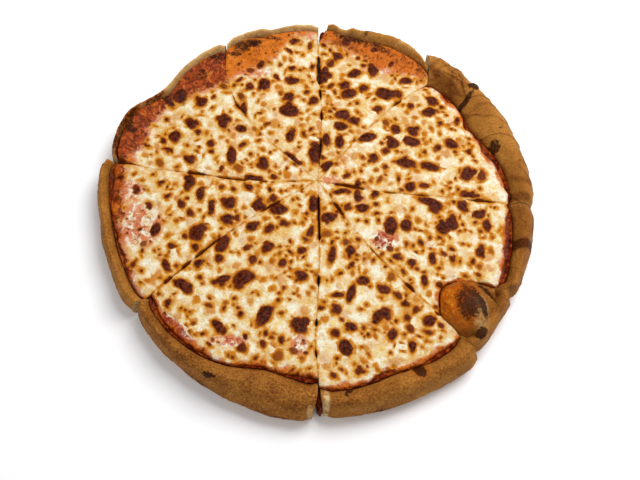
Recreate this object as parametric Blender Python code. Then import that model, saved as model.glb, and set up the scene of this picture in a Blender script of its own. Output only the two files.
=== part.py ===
"""A pan pizza cut into eight slices that still lie together.

Each slice is a thick dough crust with a raised rim, a thin layer of sauce in it and a layer of
blistered cheese on top. The cuts meet behind the middle, as on a pizza cut by eye, and one dough
bubble stands on the rim of the third slice. Lengths are in metres in Blender and are written below
in millimetres. The pizza rests on z = 0, with its outline's middle at the origin.
"""
import math
from dataclasses import dataclass

import bmesh
import bpy
import numpy as np

MM = 0.001

# Middle of the round outline, and the place where all cuts meet
CENTRE = np.array((2.9, 0.8))
HUB = CENTRE + np.array((-3.9, 18.4))

# Bearing of each cut, clockwise from the far side, in degrees at four distances from the hub
CUT_DISTANCES = (45.0, 100.0, 135.0, 165.0)
CUT_BEARINGS = (
    (92.5, 96.0, 96.3, 93.8),
    (57.0, 55.0, 51.5, 60.5),
    (-3.0, -0.5, 0.0, 0.0),
    (-49.7, -46.5, -44.3, -43.6),
    (-82.0, -83.5, -84.5, -83.3),
    (-142.0, -139.0, -136.7, -135.4),
    (-172.0, -176.5, -177.0, -178.7),
    (-215.0, -219.5, -227.0, -235.0),
)

# Opening of each cut at the hub and at the outline, and how much wider it gapes in the outer wall
CUT_GAP_AT_HUB = 0.8
CUT_GAP_AT_RIM = (2.2, 1.6, 1.2, 1.0, 2.0, 1.4, 1.8, 1.4)
CUT_FLARE = (6.5, 1.0, 0.5, 0.3, 8.5, 1.0, 1.5, 0.5)
FLARE_REACH = 22.0
MEAN_RADIUS = 173.0
RIM_DISTANCE = 170.0

# Heights above the table
FLOOR = 14.0
LIP = 16.6
WALL_TOP = 13.0
SAUCE_TOP = 16.0
CHEESE_TOP = 20.8
CHEESE_EDGE_TOP = 18.6
LAYER_GAP = 0.3

# Plan distances inside a slice
TIP = 1.6
FLOOR_STATIONS = (25.0, 50.0, 75.0, 100.0, 120.0)
EDGE_GAP = 1.0
CHEESE_TAPER = 9.0

# Lower part of the outer wall, as inset from the widest line and height
WALL_STATIONS = ((0.3, 9.0), (1.6, 3.0), (4.5, 0.0))
ARCH_STEPS = 7
ARCH_POWER = 0.75
SHOULDER_WIDTH = 5.0
SHOULDER_DROP = 2.4
LUMP = 0.9

# Dough bubble on the third slice, beside its second cut
BUBBLE_SLICE = 2
BUBBLE_DISTANCE = 158.0
BUBBLE_FROM_CUT = 20.0
BUBBLE_HALF_LENGTH = 24.0
BUBBLE_HALF_WIDTH_AT_CUT = 21.0
BUBBLE_HALF_WIDTH = 23.0
BUBBLE_HEIGHT = 18.5
BUBBLE_POWER = 0.6
BUBBLE_BAY_WIDTH = 28.0
BUBBLE_BAY_DEPTH = 39.0
BUBBLE_BAY_POWER = 0.7

# Blisters in the cheese
BLISTER_SEED = 11
BLISTERS_PER_SLICE = 26
BLISTER_RADIUS = (4.5, 9.0)
BLISTER_HEIGHT = (0.8, 1.9)

BLISTER_SPREAD = 140.0

# Unevenness of the cheese's top, and its rise where it climbs the rim
CHEESE_WAVE = 0.35
CHEESE_WAVE_LENGTH = 12.0
CUT_DROP = 0.5
CUT_DROP_WIDTH = 3.0
CLIMB_WIDTH = 11.0
CLIMB_AT_EDGE = 1.6

# Steps of the meshes
CHEESE_ROWS = 23
RIM_COLUMNS = 14
BUBBLE_RIM_COLUMNS = 23
SMOOTH_ANGLE = math.radians(40.0)


@dataclass(frozen=True)
class Slice:
    """Sizes in mm of one slice.

    The four rows hold values at even steps from the slice's first cut, clockwise, to its second
    one: the crust's outer radius, the width and height of its roll, and the cheese's outer radius.
    A notch in the roll is given by its share of the slice, half width and depth.
    """

    outer: tuple
    rim_width: tuple
    crest: tuple
    cheese: tuple
    toasted_climb: float = 0.0
    notch: tuple = (0.5, 1.0, 0.0)


SLICES = (
    Slice(outer=(178.5, 174.5, 177.5, 177.0, 168.5), rim_width=(6.0, 9.0, 13.0, 13.0, 8.0),
          crest=(26.0, 26.5, 27.0, 27.0, 26.5), cheese=(168.0, 163.0, 162.5, 162.5, 159.0),
          toasted_climb=3.0, notch=(0.14, 7.0, 2.0)),
    Slice(outer=(181.0, 181.0, 182.0, 179.5, 177.5), rim_width=(28.0, 28.0, 33.0, 23.0, 19.0),
          crest=(29.0, 30.0, 30.5, 29.5, 29.0), cheese=(149.0, 150.5, 146.0, 152.5, 154.0)),
    Slice(outer=(177.5, 175.0, 172.5, 171.5, 172.5), rim_width=(20.0, 16.0, 12.0, 12.0, 12.0),
          crest=(29.0, 29.0, 28.5, 29.0, 28.5), cheese=(153.0, 153.5, 155.0, 155.0, 153.0),
          notch=(0.6, 4.5, 3.0)),
    Slice(outer=(178.0, 175.5, 173.5, 173.0, 173.0), rim_width=(20.0, 19.0, 22.0, 19.0, 18.0),
          crest=(29.0, 30.0, 30.5, 30.5, 29.5), cheese=(154.0, 153.0, 149.0, 151.5, 150.5)),
    Slice(outer=(175.5, 174.5, 173.0, 171.5, 170.0), rim_width=(25.0, 30.0, 19.0, 13.0, 11.0),
          crest=(29.5, 31.0, 31.0, 29.5, 28.0), cheese=(144.5, 142.5, 151.5, 155.5, 154.5)),
    Slice(outer=(174.0, 174.5, 176.0, 179.5, 182.5), rim_width=(11.0, 10.5, 10.0, 9.0, 8.0),
          crest=(27.0, 26.5, 26.5, 27.0, 27.5), cheese=(162.0, 163.0, 164.5, 168.5, 172.0)),
    Slice(outer=(177.0, 180.5, 168.5, 174.5, 175.5), rim_width=(5.0, 5.0, 5.5, 6.5, 7.5),
          crest=(26.5, 26.0, 26.0, 26.0, 26.0), cheese=(171.0, 174.0, 161.5, 166.5, 166.5),
          toasted_climb=3.5),
    Slice(outer=(176.0, 176.0, 174.0, 174.5, 176.5), rim_width=(7.5, 6.0, 6.0, 7.0, 8.0),
          crest=(25.5, 26.0, 26.0, 26.0, 26.0), cheese=(167.0, 168.5, 166.5, 166.0, 167.0),
          toasted_climb=3.5),
)

# Colour, roughness and metallic value of the three layers
FINISHES = {
    "crust": ((0.46, 0.25, 0.09, 1.0), 0.75, 0.0),
    "sauce": ((0.38, 0.03, 0.01, 1.0), 0.30, 0.0),
    "cheese": ((0.80, 0.66, 0.38, 1.0), 0.38, 0.0),
}


def clear_objects():
    """Remove whatever the file already holds."""
    for item in list(bpy.data.objects):
        bpy.data.objects.remove(item, do_unlink=True)


def material(name):
    """Make the Principled material of one layer."""
    colour, roughness, metallic = FINISHES[name]
    made = bpy.data.materials.new(name)
    made.use_nodes = True
    shader = made.node_tree.nodes["Principled BSDF"]
    shader.inputs["Base Color"].default_value = colour
    shader.inputs["Roughness"].default_value = roughness
    shader.inputs["Metallic"].default_value = metallic
    return made


def along(values, share):
    """Read evenly spaced values as a smooth curve that passes through each of them."""
    padded = np.array((2.0 * values[0] - values[1], *values, 2.0 * values[-1] - values[-2]))
    place = np.clip(np.asarray(share, float), 0.0, 1.0) * (len(values) - 1)
    step = np.minimum(place.astype(int), len(values) - 2)
    t = place - step
    before, start, end, after = (padded[step + offset] for offset in range(4))
    slope_in = (end - before) / 2.0
    slope_out = (after - start) / 2.0
    bend = 2.0 * (start - end) + slope_in + slope_out
    turn = 3.0 * (end - start) - 2.0 * slope_in - slope_out
    return start + t * (slope_in + t * (turn + t * bend))


def cut_bearing(cut, distance):
    """Bearing of a cut in radians at a distance from the hub."""
    turns, number = divmod(cut, len(CUT_BEARINGS))
    return np.radians(np.interp(distance, CUT_DISTANCES, CUT_BEARINGS[number]) - 360.0 * turns)


def cut_length(cut):
    """Distance from the hub to the pizza's mean outline along a cut."""
    angle = cut_bearing(cut, CUT_DISTANCES[-1])
    offset = HUB - CENTRE
    ahead = offset[0] * math.cos(angle) + offset[1] * math.sin(angle)
    return -ahead + math.sqrt(ahead ** 2 - offset @ offset + MEAN_RADIUS ** 2)


def cut_inset(cut, distance):
    """Half of a cut's opening, as an angle at a distance from the hub."""
    number = cut % len(CUT_GAP_AT_RIM)
    length = cut_length(number)
    gap = CUT_GAP_AT_HUB + (CUT_GAP_AT_RIM[number] - CUT_GAP_AT_HUB) * np.clip(distance / length, 0.0, 1.0)
    flare = CUT_FLARE[number] * np.clip((distance - length) / FLARE_REACH + 1.0, 0.0, 1.0) ** 2
    return 0.5 * (gap + flare) / np.maximum(distance, TIP)


def bearing_in_slice(number, share, distance):
    """Bearing of a place in a slice, where share 0 is its first cut and share 1 its second."""
    first = cut_bearing(number, distance) - cut_inset(number, distance)
    second = cut_bearing(number + 1, distance) + cut_inset(number + 1, distance)
    return first + np.asarray(share, float) * (second - first)


def plan(number, share, distance):
    """Plan position in mm of a share of a slice at a distance from the hub."""
    angle = bearing_in_slice(number, share, distance)
    return HUB[0] + distance * np.cos(angle), HUB[1] + distance * np.sin(angle)


def reach(number, share, radius):
    """Distance from the hub at which a share of a slice is at a radius from the pizza's centre."""
    offset = HUB - CENTRE
    distance = np.asarray(radius, float)
    for _ in range(4):
        angle = bearing_in_slice(number, share, distance)
        ahead = offset[0] * np.cos(angle) + offset[1] * np.sin(angle)
        distance = -ahead + np.sqrt(ahead ** 2 - offset @ offset + np.square(radius))
    return distance


def slice_span(number, distance):
    """Angle between the two sides of a slice at a distance from the hub."""
    return np.abs(bearing_in_slice(number, 1.0, distance) - bearing_in_slice(number, 0.0, distance))


def cut_distance(number, share, distance):
    """Distance in mm along the rim to the nearer cut of a slice."""
    return np.minimum(share, 1.0 - np.asarray(share)) * slice_span(number, distance) * distance


def rim_drop(number, share, distance):
    """How far the crust's roll sinks where it rounds over at a cut and in a notch."""
    corner = SHOULDER_DROP * np.exp(-np.square(cut_distance(number, share, distance) / SHOULDER_WIDTH))
    middle, half_width, depth = SLICES[number].notch
    along_rim = (np.asarray(share) - middle) * slice_span(number, distance) * distance
    return corner + depth * np.exp(-np.power(along_rim / half_width, 4))


def lump(number, share, pitch):
    """Soft unevenness of hand-pressed dough, between about -1 and 1."""
    turn = 2.0 * math.pi * (number + np.asarray(share, float))
    long_wave = 0.5 * np.sin(1.7 * turn * pitch + pitch)
    return long_wave + 0.3 * np.sin(3.1 * turn + 2.0 * pitch) + 0.2 * np.sin(5.3 * turn)


def rim_outside(number, share):
    """Distance from the hub to the widest line of the crust."""
    distance = reach(number, share, along(SLICES[number].outer, share))
    return distance + 0.5 * LUMP * lump(number, share, 1.0) - rim_drop(number, share, distance)


def rim_crest(number, share):
    """Height of the crust's roll."""
    crest = along(SLICES[number].crest, share) + LUMP * lump(number, share, 1.6)
    return crest - rim_drop(number, share, RIM_DISTANCE)


def bubble_sideways(share):
    """Distance in mm from the middle line of the dough bubble, positive away from its cut."""
    from_cut = (1.0 - np.asarray(share)) * slice_span(BUBBLE_SLICE, BUBBLE_DISTANCE) * BUBBLE_DISTANCE
    return from_cut - BUBBLE_FROM_CUT


def bubble_top(number, share, distance):
    """Height of the dough bubble's dome, or zero away from it."""
    if number != BUBBLE_SLICE:
        return np.zeros(np.broadcast(share, distance).shape)
    sideways = bubble_sideways(share)
    half_width = np.where(sideways < 0.0, BUBBLE_HALF_WIDTH_AT_CUT, BUBBLE_HALF_WIDTH)
    lengthways = (distance - BUBBLE_DISTANCE) / BUBBLE_HALF_LENGTH
    inside = np.clip(1.0 - lengthways ** 2 - (sideways / half_width) ** 2, 0.0, 1.0)
    return LIP + BUBBLE_HEIGHT * inside ** BUBBLE_POWER


def rim_inside(number, share):
    """Distance from the hub to the inner foot of the rim, where the sauce ends."""
    foot = rim_outside(number, share) - along(SLICES[number].rim_width, share)
    if number == BUBBLE_SLICE:
        sideways = bubble_sideways(share) / BUBBLE_BAY_WIDTH
        foot = foot - BUBBLE_BAY_DEPTH * np.clip(1.0 - sideways ** 2, 0.0, 1.0) ** BUBBLE_BAY_POWER
    return foot


def crust_height(number, share, distance):
    """Height of the crust's top outside the inner foot of the rim."""
    outside = rim_outside(number, share)
    width = along(SLICES[number].rim_width, share)
    across = np.clip((distance - outside + width) / width, 0.0, 1.0)
    base = LIP + (WALL_TOP - LIP) * across
    roll = base + (rim_crest(number, share) - base) * np.sin(math.pi * across) ** ARCH_POWER
    roll = np.where(across >= 1.0, WALL_TOP, roll)
    dome = np.where(across >= 1.0, 0.0, bubble_top(number, share, distance))
    return np.maximum(roll, dome)


def blister_field(number):
    """Places, sizes and heights of the raised blisters of one slice, by a seeded draw."""
    draw = np.random.default_rng(BLISTER_SEED + number)
    count = BLISTERS_PER_SLICE
    share = draw.uniform(0.05, 0.95, count)
    distance = BLISTER_SPREAD * np.sqrt(draw.uniform(0.02, 1.0, count))
    radius = draw.uniform(*BLISTER_RADIUS, count)
    height = draw.uniform(*BLISTER_HEIGHT, count)
    return (*plan(number, share, distance), radius, height)


def cheese_height(number, share, distance, edge):
    """Height of the cheese's top, with its blisters and its thinner or climbing edge."""
    x, y = plan(number, share, distance)
    taper = np.clip((edge - distance) / CHEESE_TAPER, 0.0, 1.0) ** 0.5
    climb = SLICES[number].toasted_climb
    edge_top = CHEESE_EDGE_TOP + CLIMB_AT_EDGE * climb
    height = edge_top + (CHEESE_TOP - edge_top) * taper
    height = height + climb * np.exp(-np.square((edge - distance) / CLIMB_WIDTH)) * taper
    height = height + CHEESE_WAVE * np.sin(x / CHEESE_WAVE_LENGTH + 1.0) * np.sin(y / CHEESE_WAVE_LENGTH)
    height = height - CUT_DROP * np.exp(-cut_distance(number, share, distance) / CUT_DROP_WIDTH)
    for blister_x, blister_y, radius, raised in zip(*blister_field(number)):
        away = ((x - blister_x) ** 2 + (y - blister_y) ** 2) / radius ** 2
        height = height + raised * np.exp(-1.5 * away) * taper
    return height


def new_object(name, bm, layer):
    """Finish a bmesh as one named object with its layer's material."""
    bmesh.ops.recalc_face_normals(bm, faces=bm.faces)
    bmesh.ops.triangulate(bm, faces=[face for face in bm.faces if len(face.verts) > 4])
    mesh = bpy.data.meshes.new(name)
    bm.to_mesh(mesh)
    bm.free()
    mesh.materials.append(layer)
    mesh.shade_smooth()
    mesh.set_sharp_from_angle(angle=SMOOTH_ANGLE)
    made = bpy.data.objects.new(name, mesh)
    bpy.context.scene.collection.objects.link(made)
    return made


def vertex(bm, x, y, z):
    """Add one vertex at a place in mm."""
    return bm.verts.new((float(x) * MM, float(y) * MM, float(z) * MM))


def rim_shares(number):
    """Even shares across a slice, closer together where the dough bubble is."""
    return np.linspace(0.0, 1.0, (BUBBLE_RIM_COLUMNS if number == BUBBLE_SLICE else RIM_COLUMNS) + 1)


def make_crust(number, layer):
    """Model the dough of one slice: a flat floor, a raised rim and two upright cut faces.

    Rows of vertices run across the slice from the tip, over the floor and the rim, and down the
    outer wall. The two cut faces hang straight down from the ends of the rows.
    """
    share = rim_shares(number)
    columns = len(share) - 1
    outside = rim_outside(number, share)
    inside = rim_inside(number, share)
    rows = [(np.full_like(share, station), np.full_like(share, FLOOR)) for station in FLOOR_STATIONS]
    rows.append((inside, np.full_like(share, FLOOR)))
    rows.append((inside, np.full_like(share, LIP)))
    for step in range(1, ARCH_STEPS + 1):
        across = (1.0 - math.cos(math.pi * step / ARCH_STEPS)) / 2.0
        distance = inside + (outside - inside) * across
        rows.append((distance, crust_height(number, share, distance)))
    rows += [(outside - inset, np.full_like(share, height)) for inset, height in WALL_STATIONS]

    bm = bmesh.new()
    tip_x, tip_y = plan(number, 0.5, TIP)
    tip_top = vertex(bm, tip_x, tip_y, FLOOR)
    tip_bottom = vertex(bm, tip_x, tip_y, 0.0)
    grid = [[tip_top] * (columns + 1)]
    for distance, height in rows:
        x, y = plan(number, share, distance)
        grid.append([vertex(bm, *place) for place in zip(x, y, height)])
    for inner, outer in zip(grid, grid[1:]):
        for column in range(columns):
            ring = (inner[column], outer[column], outer[column + 1], inner[column + 1])
            bm.faces.new(ring if inner is not grid[0] else ring[:3])

    sides = [cut_face(bm, grid, tip_bottom, end, len(FLOOR_STATIONS) + 1) for end in (0, columns)]
    bm.faces.new([tip_bottom, *sides[0], *grid[-1], *reversed(sides[1])])
    return new_object(f"crust_{number + 1}", bm, layer)


def cut_face(bm, grid, tip_bottom, end, floor_rows):
    """Close one cut side of a crust in upright strips and return its bottom vertices."""
    bottoms = [tip_bottom]
    for row in grid[1:floor_rows + 1]:
        above = row[end].co
        bottoms.append(bm.verts.new((above.x, above.y, 0.0)))
    corner = grid[-1][end]
    below = bottoms + [bottoms[-1]] * 3 + [corner] * (len(grid) - len(bottoms) - 3)
    column = [row[end] for row in grid]
    for index in range(len(column) - 1):
        ring = []
        for item in (column[index], column[index + 1], below[index + 1], below[index]):
            if item not in ring:
                ring.append(item)
        if len(ring) > 2:
            bm.faces.new(ring)
    return bottoms[1:]


def make_sauce(number, layer):
    """Model the sauce of one slice: a flat sheet that ends just inside the rim's foot."""
    share = rim_shares(number)
    edge = rim_inside(number, share) - EDGE_GAP
    places = [plan(number, 0.5, TIP)]
    places += [plan(number, 0.0, station) for station in FLOOR_STATIONS]
    places += list(zip(*plan(number, share, edge)))
    places += [plan(number, 1.0, station) for station in reversed(FLOOR_STATIONS)]
    bm = bmesh.new()
    sheet = bm.faces.new([vertex(bm, x, y, FLOOR + LAYER_GAP) for x, y in places])
    raised = bmesh.ops.extrude_face_region(bm, geom=[sheet], use_keep_orig=True)
    tops = [item for item in raised["geom"] if isinstance(item, bmesh.types.BMVert)]
    bmesh.ops.translate(bm, vec=(0.0, 0.0, (SAUCE_TOP - FLOOR - LAYER_GAP) * MM), verts=tops)
    return new_object(f"sauce_{number + 1}", bm, layer)


def make_cheese(number, layer):
    """Model the cheese of one slice: a sheet of even triangles on top, with upright sides.

    Row i of the sheet has i + 1 vertices, so that the triangles stay alike from the tip to the rim.
    """
    rows = np.repeat(np.arange(CHEESE_ROWS + 1), np.arange(1, CHEESE_ROWS + 2))
    in_row = np.concatenate([np.arange(row + 1) for row in range(CHEESE_ROWS + 1)])
    share = np.where(rows > 0, in_row / np.maximum(rows, 1), 0.5)
    edge = reach(number, share, along(SLICES[number].cheese, share))
    edge = np.minimum(edge, rim_inside(number, share) - EDGE_GAP)
    distance = TIP + (edge - TIP) * rows / CHEESE_ROWS
    x, y = plan(number, share, distance)
    height = cheese_height(number, share, distance, edge)

    bm = bmesh.new()
    points = [vertex(bm, *place) for place in zip(x, y, height)]
    starts = [row * (row + 1) // 2 for row in range(CHEESE_ROWS + 2)]
    for row in range(CHEESE_ROWS):
        inner, outer = starts[row], starts[row + 1]
        for column in range(row + 1):
            bm.faces.new((points[inner + column], points[outer + column], points[outer + column + 1]))
            if column < row:
                bm.faces.new((points[inner + column], points[outer + column + 1], points[inner + column + 1]))
    rim = [edge for edge in bm.edges if edge.is_boundary]
    skirt = bmesh.ops.extrude_edge_only(bm, edges=rim)["geom"]
    for item in skirt:
        if isinstance(item, bmesh.types.BMVert):
            item.co.z = (SAUCE_TOP + LAYER_GAP) * MM
    lowest = [item for item in skirt if isinstance(item, bmesh.types.BMEdge) and item.is_boundary]
    bmesh.ops.edgeloop_fill(bm, edges=lowest)
    return new_object(f"cheese_{number + 1}", bm, layer)


def main():
    """Build the eight slices, layer by layer."""
    clear_objects()
    layers = {name: material(name) for name in FINISHES}
    for number in range(len(SLICES)):
        make_crust(number, layers["crust"])
        make_sauce(number, layers["sauce"])
        make_cheese(number, layers["cheese"])


main()
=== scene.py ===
"""Looks of a pan pizza cut into eight slices: fried dough, tomato sauce and blistered cheese.

Every slice has three surfaces, worked out with numpy in the same plan as the solids that they
replace. A place in a slice is given by its share, from 0 at the slice's first cut to 1 at its second
one, clockwise, and by its distance from the hub, where all cuts meet. Lengths are in millimetres
until they go into a mesh.
"""

import logging
import math
from collections.abc import Callable
from dataclasses import dataclass, field
from enum import Enum
from functools import lru_cache

import bmesh
import bpy
import numpy as np
from mathutils import Matrix


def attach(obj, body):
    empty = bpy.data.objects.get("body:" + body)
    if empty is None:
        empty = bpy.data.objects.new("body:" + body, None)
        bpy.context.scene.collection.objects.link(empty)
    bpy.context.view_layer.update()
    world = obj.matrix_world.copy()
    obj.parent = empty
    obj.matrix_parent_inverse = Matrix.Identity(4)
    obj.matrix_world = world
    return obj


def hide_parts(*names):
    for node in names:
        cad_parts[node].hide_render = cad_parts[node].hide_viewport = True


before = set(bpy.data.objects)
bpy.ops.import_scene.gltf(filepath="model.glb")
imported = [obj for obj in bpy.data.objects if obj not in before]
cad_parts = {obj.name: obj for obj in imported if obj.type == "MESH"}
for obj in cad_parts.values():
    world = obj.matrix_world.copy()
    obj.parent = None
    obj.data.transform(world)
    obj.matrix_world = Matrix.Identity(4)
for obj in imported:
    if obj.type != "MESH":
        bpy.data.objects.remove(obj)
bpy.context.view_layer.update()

Array = np.ndarray
Socket = bpy.types.NodeSocket
MM = 0.001
# Points that round to the same step, this many mm wide, become one
WELD = 0.0005
# Squared distance from a patch's middle, in squares of its half size, where it starts to fade and ends
PATCH_FADE = (0.25, 1.7)
LATTICE_CELLS = 128
BODY = "root"

log = logging.getLogger("pan_pizza")


class Layer(Enum):
    """Layers of a slice, named as their material slots."""

    CRUST = "crust"
    SAUCE = "sauce"
    CHEESE = "cheese"


class Mark(Enum):
    """What a patch does to the surface that it lies on."""

    CHAR = "char"
    # Painted shade: a darker band where the dough faces away from the light
    SHADE_BAND = "toast"
    GLAZE = "glaze"
    SAUCE_SHOWS = "see"
    WHITE = "white"
    DENT = "dent"
    BUMP = "bump"
    TORN = "torn"


def linear(code: str) -> tuple[float, float, float, float]:
    """Turn an sRGB hex colour into linear light.

    Args:
        code: Colour as #rrggbb.

    Returns:
        Linear red, green and blue, and an alpha of 1.
    """
    parts = [int(code[start:start + 2], 16) / 255.0 for start in (1, 3, 5)]
    light = [part / 12.92 if part <= 0.04045 else ((part + 0.055) / 1.055) ** 2.4 for part in parts]
    return light[0], light[1], light[2], 1.0


def smooth_step(low: float, high: float, value: Array) -> Array:
    """Rise from 0 at low to 1 at high along a curve that is level at both ends."""
    part = np.clip((value - low) / (high - low), 0.0, 1.0)
    return part * part * (3.0 - 2.0 * part)


def rounded(part: Array) -> Array:
    """Quarter round: 1 at the edge, where part is 0, and 0 from 1 on."""
    return 1.0 - np.sqrt(1.0 - (1.0 - np.clip(part, 0.0, 1.0)) ** 2)


def along(values: tuple[float, ...], share: Array) -> Array:
    """Read evenly spaced values as a smooth curve that passes through each of them.

    The curve between two values is a cubic whose slope at a value is half the difference of its
    two neighbours.

    Args:
        values: Values at even steps of share from 0 to 1.
        share: Places to read.

    Returns:
        The curve's values.
    """
    padded = np.array((2.0 * values[0] - values[1], *values, 2.0 * values[-1] - values[-2]))
    place = np.clip(share, 0.0, 1.0) * (len(values) - 1)
    step = np.minimum(np.asarray(place).astype(int), len(values) - 2)
    t = place - step
    before, start, end, after = (padded[step + offset] for offset in range(4))
    slope_in = (end - before) / 2.0
    slope_out = (after - start) / 2.0
    bend = 2.0 * (start - end) + slope_in + slope_out
    turn = 3.0 * (end - start) - 2.0 * slope_in - slope_out
    return start + t * (slope_in + t * (turn + t * bend))


@lru_cache(maxsize=None)
def lattice(seed: int) -> Array:
    """Random values between -1 and 1 on a square lattice that repeats after its last cell."""
    return np.random.default_rng(seed).uniform(-1.0, 1.0, (LATTICE_CELLS, LATTICE_CELLS))


@dataclass(frozen=True)
class Grain:
    """Seeded unevenness over a plane: random lattice values joined by smooth steps."""

    seed: int

    def at(self, x: Array, y: Array, length: float) -> Array:
        """Read the unevenness where its lattice has cells of a given length.

        The value is the mean of the four corners of a cell, weighted by the fifth-order step
        6t^5 - 15t^4 + 10t^3 along each side.

        Args:
            x: Places along the first axis, in mm.
            y: Places along the second axis, in mm.
            length: Side of a cell, in mm.

        Returns:
            Values between -1 and 1.
        """
        values = lattice(self.seed)
        size = len(values)
        across, up = x / length + 31.7, y / length + 17.3
        column, row = np.floor(across).astype(int), np.floor(up).astype(int)
        s, t = across - column, up - row
        s = s * s * s * (s * (6.0 * s - 15.0) + 10.0)
        t = t * t * t * (t * (6.0 * t - 15.0) + 10.0)
        left, right = column % size, (column + 1) % size
        low, high = row % size, (row + 1) % size
        below = values[left, low] * (1.0 - s) + values[right, low] * s
        above = values[left, high] * (1.0 - s) + values[right, high] * s
        return below * (1.0 - t) + above * t

    def layered(self, x: Array, y: Array, length: float, layers: int = 3) -> Array:
        """Add layers of the unevenness, each half as long and half as strong as the one before."""
        total = np.zeros(np.broadcast(x, y).shape)
        for layer in range(layers):
            finer = 2 ** layer
            total = total + self.at(x + 57.0 * layer, y - 91.0 * layer, length / finer) / finer
        return total / (2.0 - 2.0 ** (1 - layers))


@dataclass(frozen=True)
class Layout:
    """Plan of the pizza: its round outline, the hub and the eight cuts, in mm and degrees."""

    centre: tuple[float, float] = (2.9, 0.8)
    hub: tuple[float, float] = (-1.0, 19.2)
    distances: tuple[float, ...] = (45.0, 100.0, 135.0, 165.0)
    bearings: tuple[tuple[float, ...], ...] = (
        (92.5, 96.0, 96.3, 93.8),
        (57.0, 55.0, 51.5, 60.5),
        (-3.0, -0.5, 0.0, 0.0),
        (-49.7, -46.5, -44.3, -43.6),
        (-82.0, -83.5, -84.5, -83.3),
        (-142.0, -139.0, -136.7, -135.4),
        (-172.0, -176.5, -177.0, -178.7),
        (-215.0, -219.5, -227.0, -235.0),
    )
    gap_at_hub: float = 0.8
    gap_at_rim: tuple[float, ...] = (2.2, 1.6, 1.2, 1.0, 2.0, 1.4, 1.8, 1.4)
    flare: tuple[float, ...] = (6.5, 1.0, 0.5, 0.3, 8.5, 1.0, 1.5, 0.5)
    flare_reach: float = 22.0
    mean_radius: float = 173.0
    tip: float = 1.6
    closed_gap: float = 0.10
    cheese_gape: float = 0.3
    always_open: float = 24.0
    closed_hub: float = 9.0
    slit_spacing: float = 40.0
    slit: Grain = Grain(5)

    def cut_bearing(self, cut: int, distance: Array) -> Array:
        """Bearing of a cut in radians at a distance from the hub."""
        turns, number = divmod(cut, len(self.bearings))
        return np.radians(np.interp(distance, self.distances, self.bearings[number]) - 360.0 * turns)

    def cut_length(self, cut: int) -> float:
        """Distance from the hub to the pizza's mean outline along a cut."""
        angle = float(self.cut_bearing(cut, self.distances[-1]))
        offset = np.subtract(self.hub, self.centre)
        ahead = offset[0] * math.cos(angle) + offset[1] * math.sin(angle)
        return -ahead + math.sqrt(ahead ** 2 - offset @ offset + self.mean_radius ** 2)

    def opening(self, cut: int, distance: Array, layer: Layer) -> Array:
        """Opening of a cut in mm.

        Dough and sauce stay apart all along a cut. The cheese has flowed together again in
        stretches, so its opening there falls to a hair line.

        Args:
            cut: Number of the cut.
            distance: Distances from the hub.
            layer: The layer that is cut.

        Returns:
            The opening across the cut.
        """
        number = cut % len(self.gap_at_rim)
        length = self.cut_length(number)
        widening = (self.gap_at_rim[number] - self.gap_at_hub) * np.clip(distance / length, 0.0, 1.0)
        gap = self.gap_at_hub + widening
        if layer is Layer.CHEESE:
            open_gap = gap + self.cheese_gape
            gap = self.closed_gap + (open_gap - self.closed_gap) * self.parted(cut, distance)
        near_rim = np.clip((distance - length) / self.flare_reach + 1.0, 0.0, 1.0)
        return gap + self.flare[number] * near_rim ** 2

    def parted(self, cut: int, distance: Array) -> Array:
        """How far the cheese has stayed apart along a cut: 0 where it has closed, 1 where it gapes.

        The stretches follow smooth unevenness along the cut. Near the rim it always gapes, and
        round the hub it has always closed.

        Args:
            cut: Number of the cut.
            distance: Distances from the hub.

        Returns:
            Values from 0 to 1.
        """
        row = np.full(np.shape(distance), self.slit_spacing * (cut % len(self.gap_at_rim)))
        uneven = self.slit.at(distance, row, 14.0) + 0.5 * self.slit.at(distance, row + 9.0, 6.0)
        at_rim = smooth_step(-self.always_open, -4.0, distance - self.cut_length(cut))
        off_hub = smooth_step(self.closed_hub, self.closed_hub + 8.0, distance)
        return np.maximum(smooth_step(0.0, 0.6, uneven) * off_hub, at_rim)

    def bearing(self, number: int, share: Array, distance: Array, layer: Layer) -> Array:
        """Bearing in radians of a place in a slice, clear of the openings of its two cuts.

        Args:
            number: Number of the slice, counted from 0.
            share: Share of the slice, from its first cut to its second one.
            distance: Distances from the hub.
            layer: The layer that is cut.

        Returns:
            The bearings.
        """
        reach = 2.0 * np.maximum(distance, self.tip)
        before, after = (self.opening(cut, distance, layer) / reach for cut in (number, number + 1))
        first = self.cut_bearing(number, distance) - before
        second = self.cut_bearing(number + 1, distance) + after
        return first + share * (second - first)

    def plan(self, number: int, share: Array, distance: Array, layer: Layer) -> tuple[Array, Array]:
        """Plan position of a share of a slice at a distance from the hub."""
        angle = self.bearing(number, share, distance, layer)
        return self.hub[0] + distance * np.cos(angle), self.hub[1] + distance * np.sin(angle)

    def reach(self, number: int, share: Array, radius: Array) -> Array:
        """Distance from the hub at which a share of a slice is at a radius from the centre."""
        offset = np.subtract(self.hub, self.centre)
        distance = np.asarray(radius, float)
        for _ in range(4):
            angle = self.bearing(number, share, distance, Layer.CRUST)
            ahead = offset[0] * np.cos(angle) + offset[1] * np.sin(angle)
            distance = -ahead + np.sqrt(ahead ** 2 - offset @ offset + np.square(radius))
        return distance

    def span(self, number: int, distance: Array) -> Array:
        """Angle between the two sides of a slice at a distance from the hub."""
        sides = [self.bearing(number, share, distance, Layer.CRUST) for share in (0.0, 1.0)]
        return np.abs(sides[1] - sides[0])

    def to_cut(self, number: int, share: Array, distance: Array) -> Array:
        """Distance in mm to the nearer cut of a slice, along a circle about the hub."""
        return np.minimum(share, 1.0 - share) * self.span(number, distance) * distance


@dataclass(frozen=True)
class Patch:
    """One elliptic mark: its slice, counted from 1, its distance from the hub and share of the slice,
    its length and width in mm, its lean in degrees and its strength."""

    number: int
    distance: float
    share: float
    length: float
    width: float
    lean: float = 0.0
    strength: float = 1.0


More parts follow.
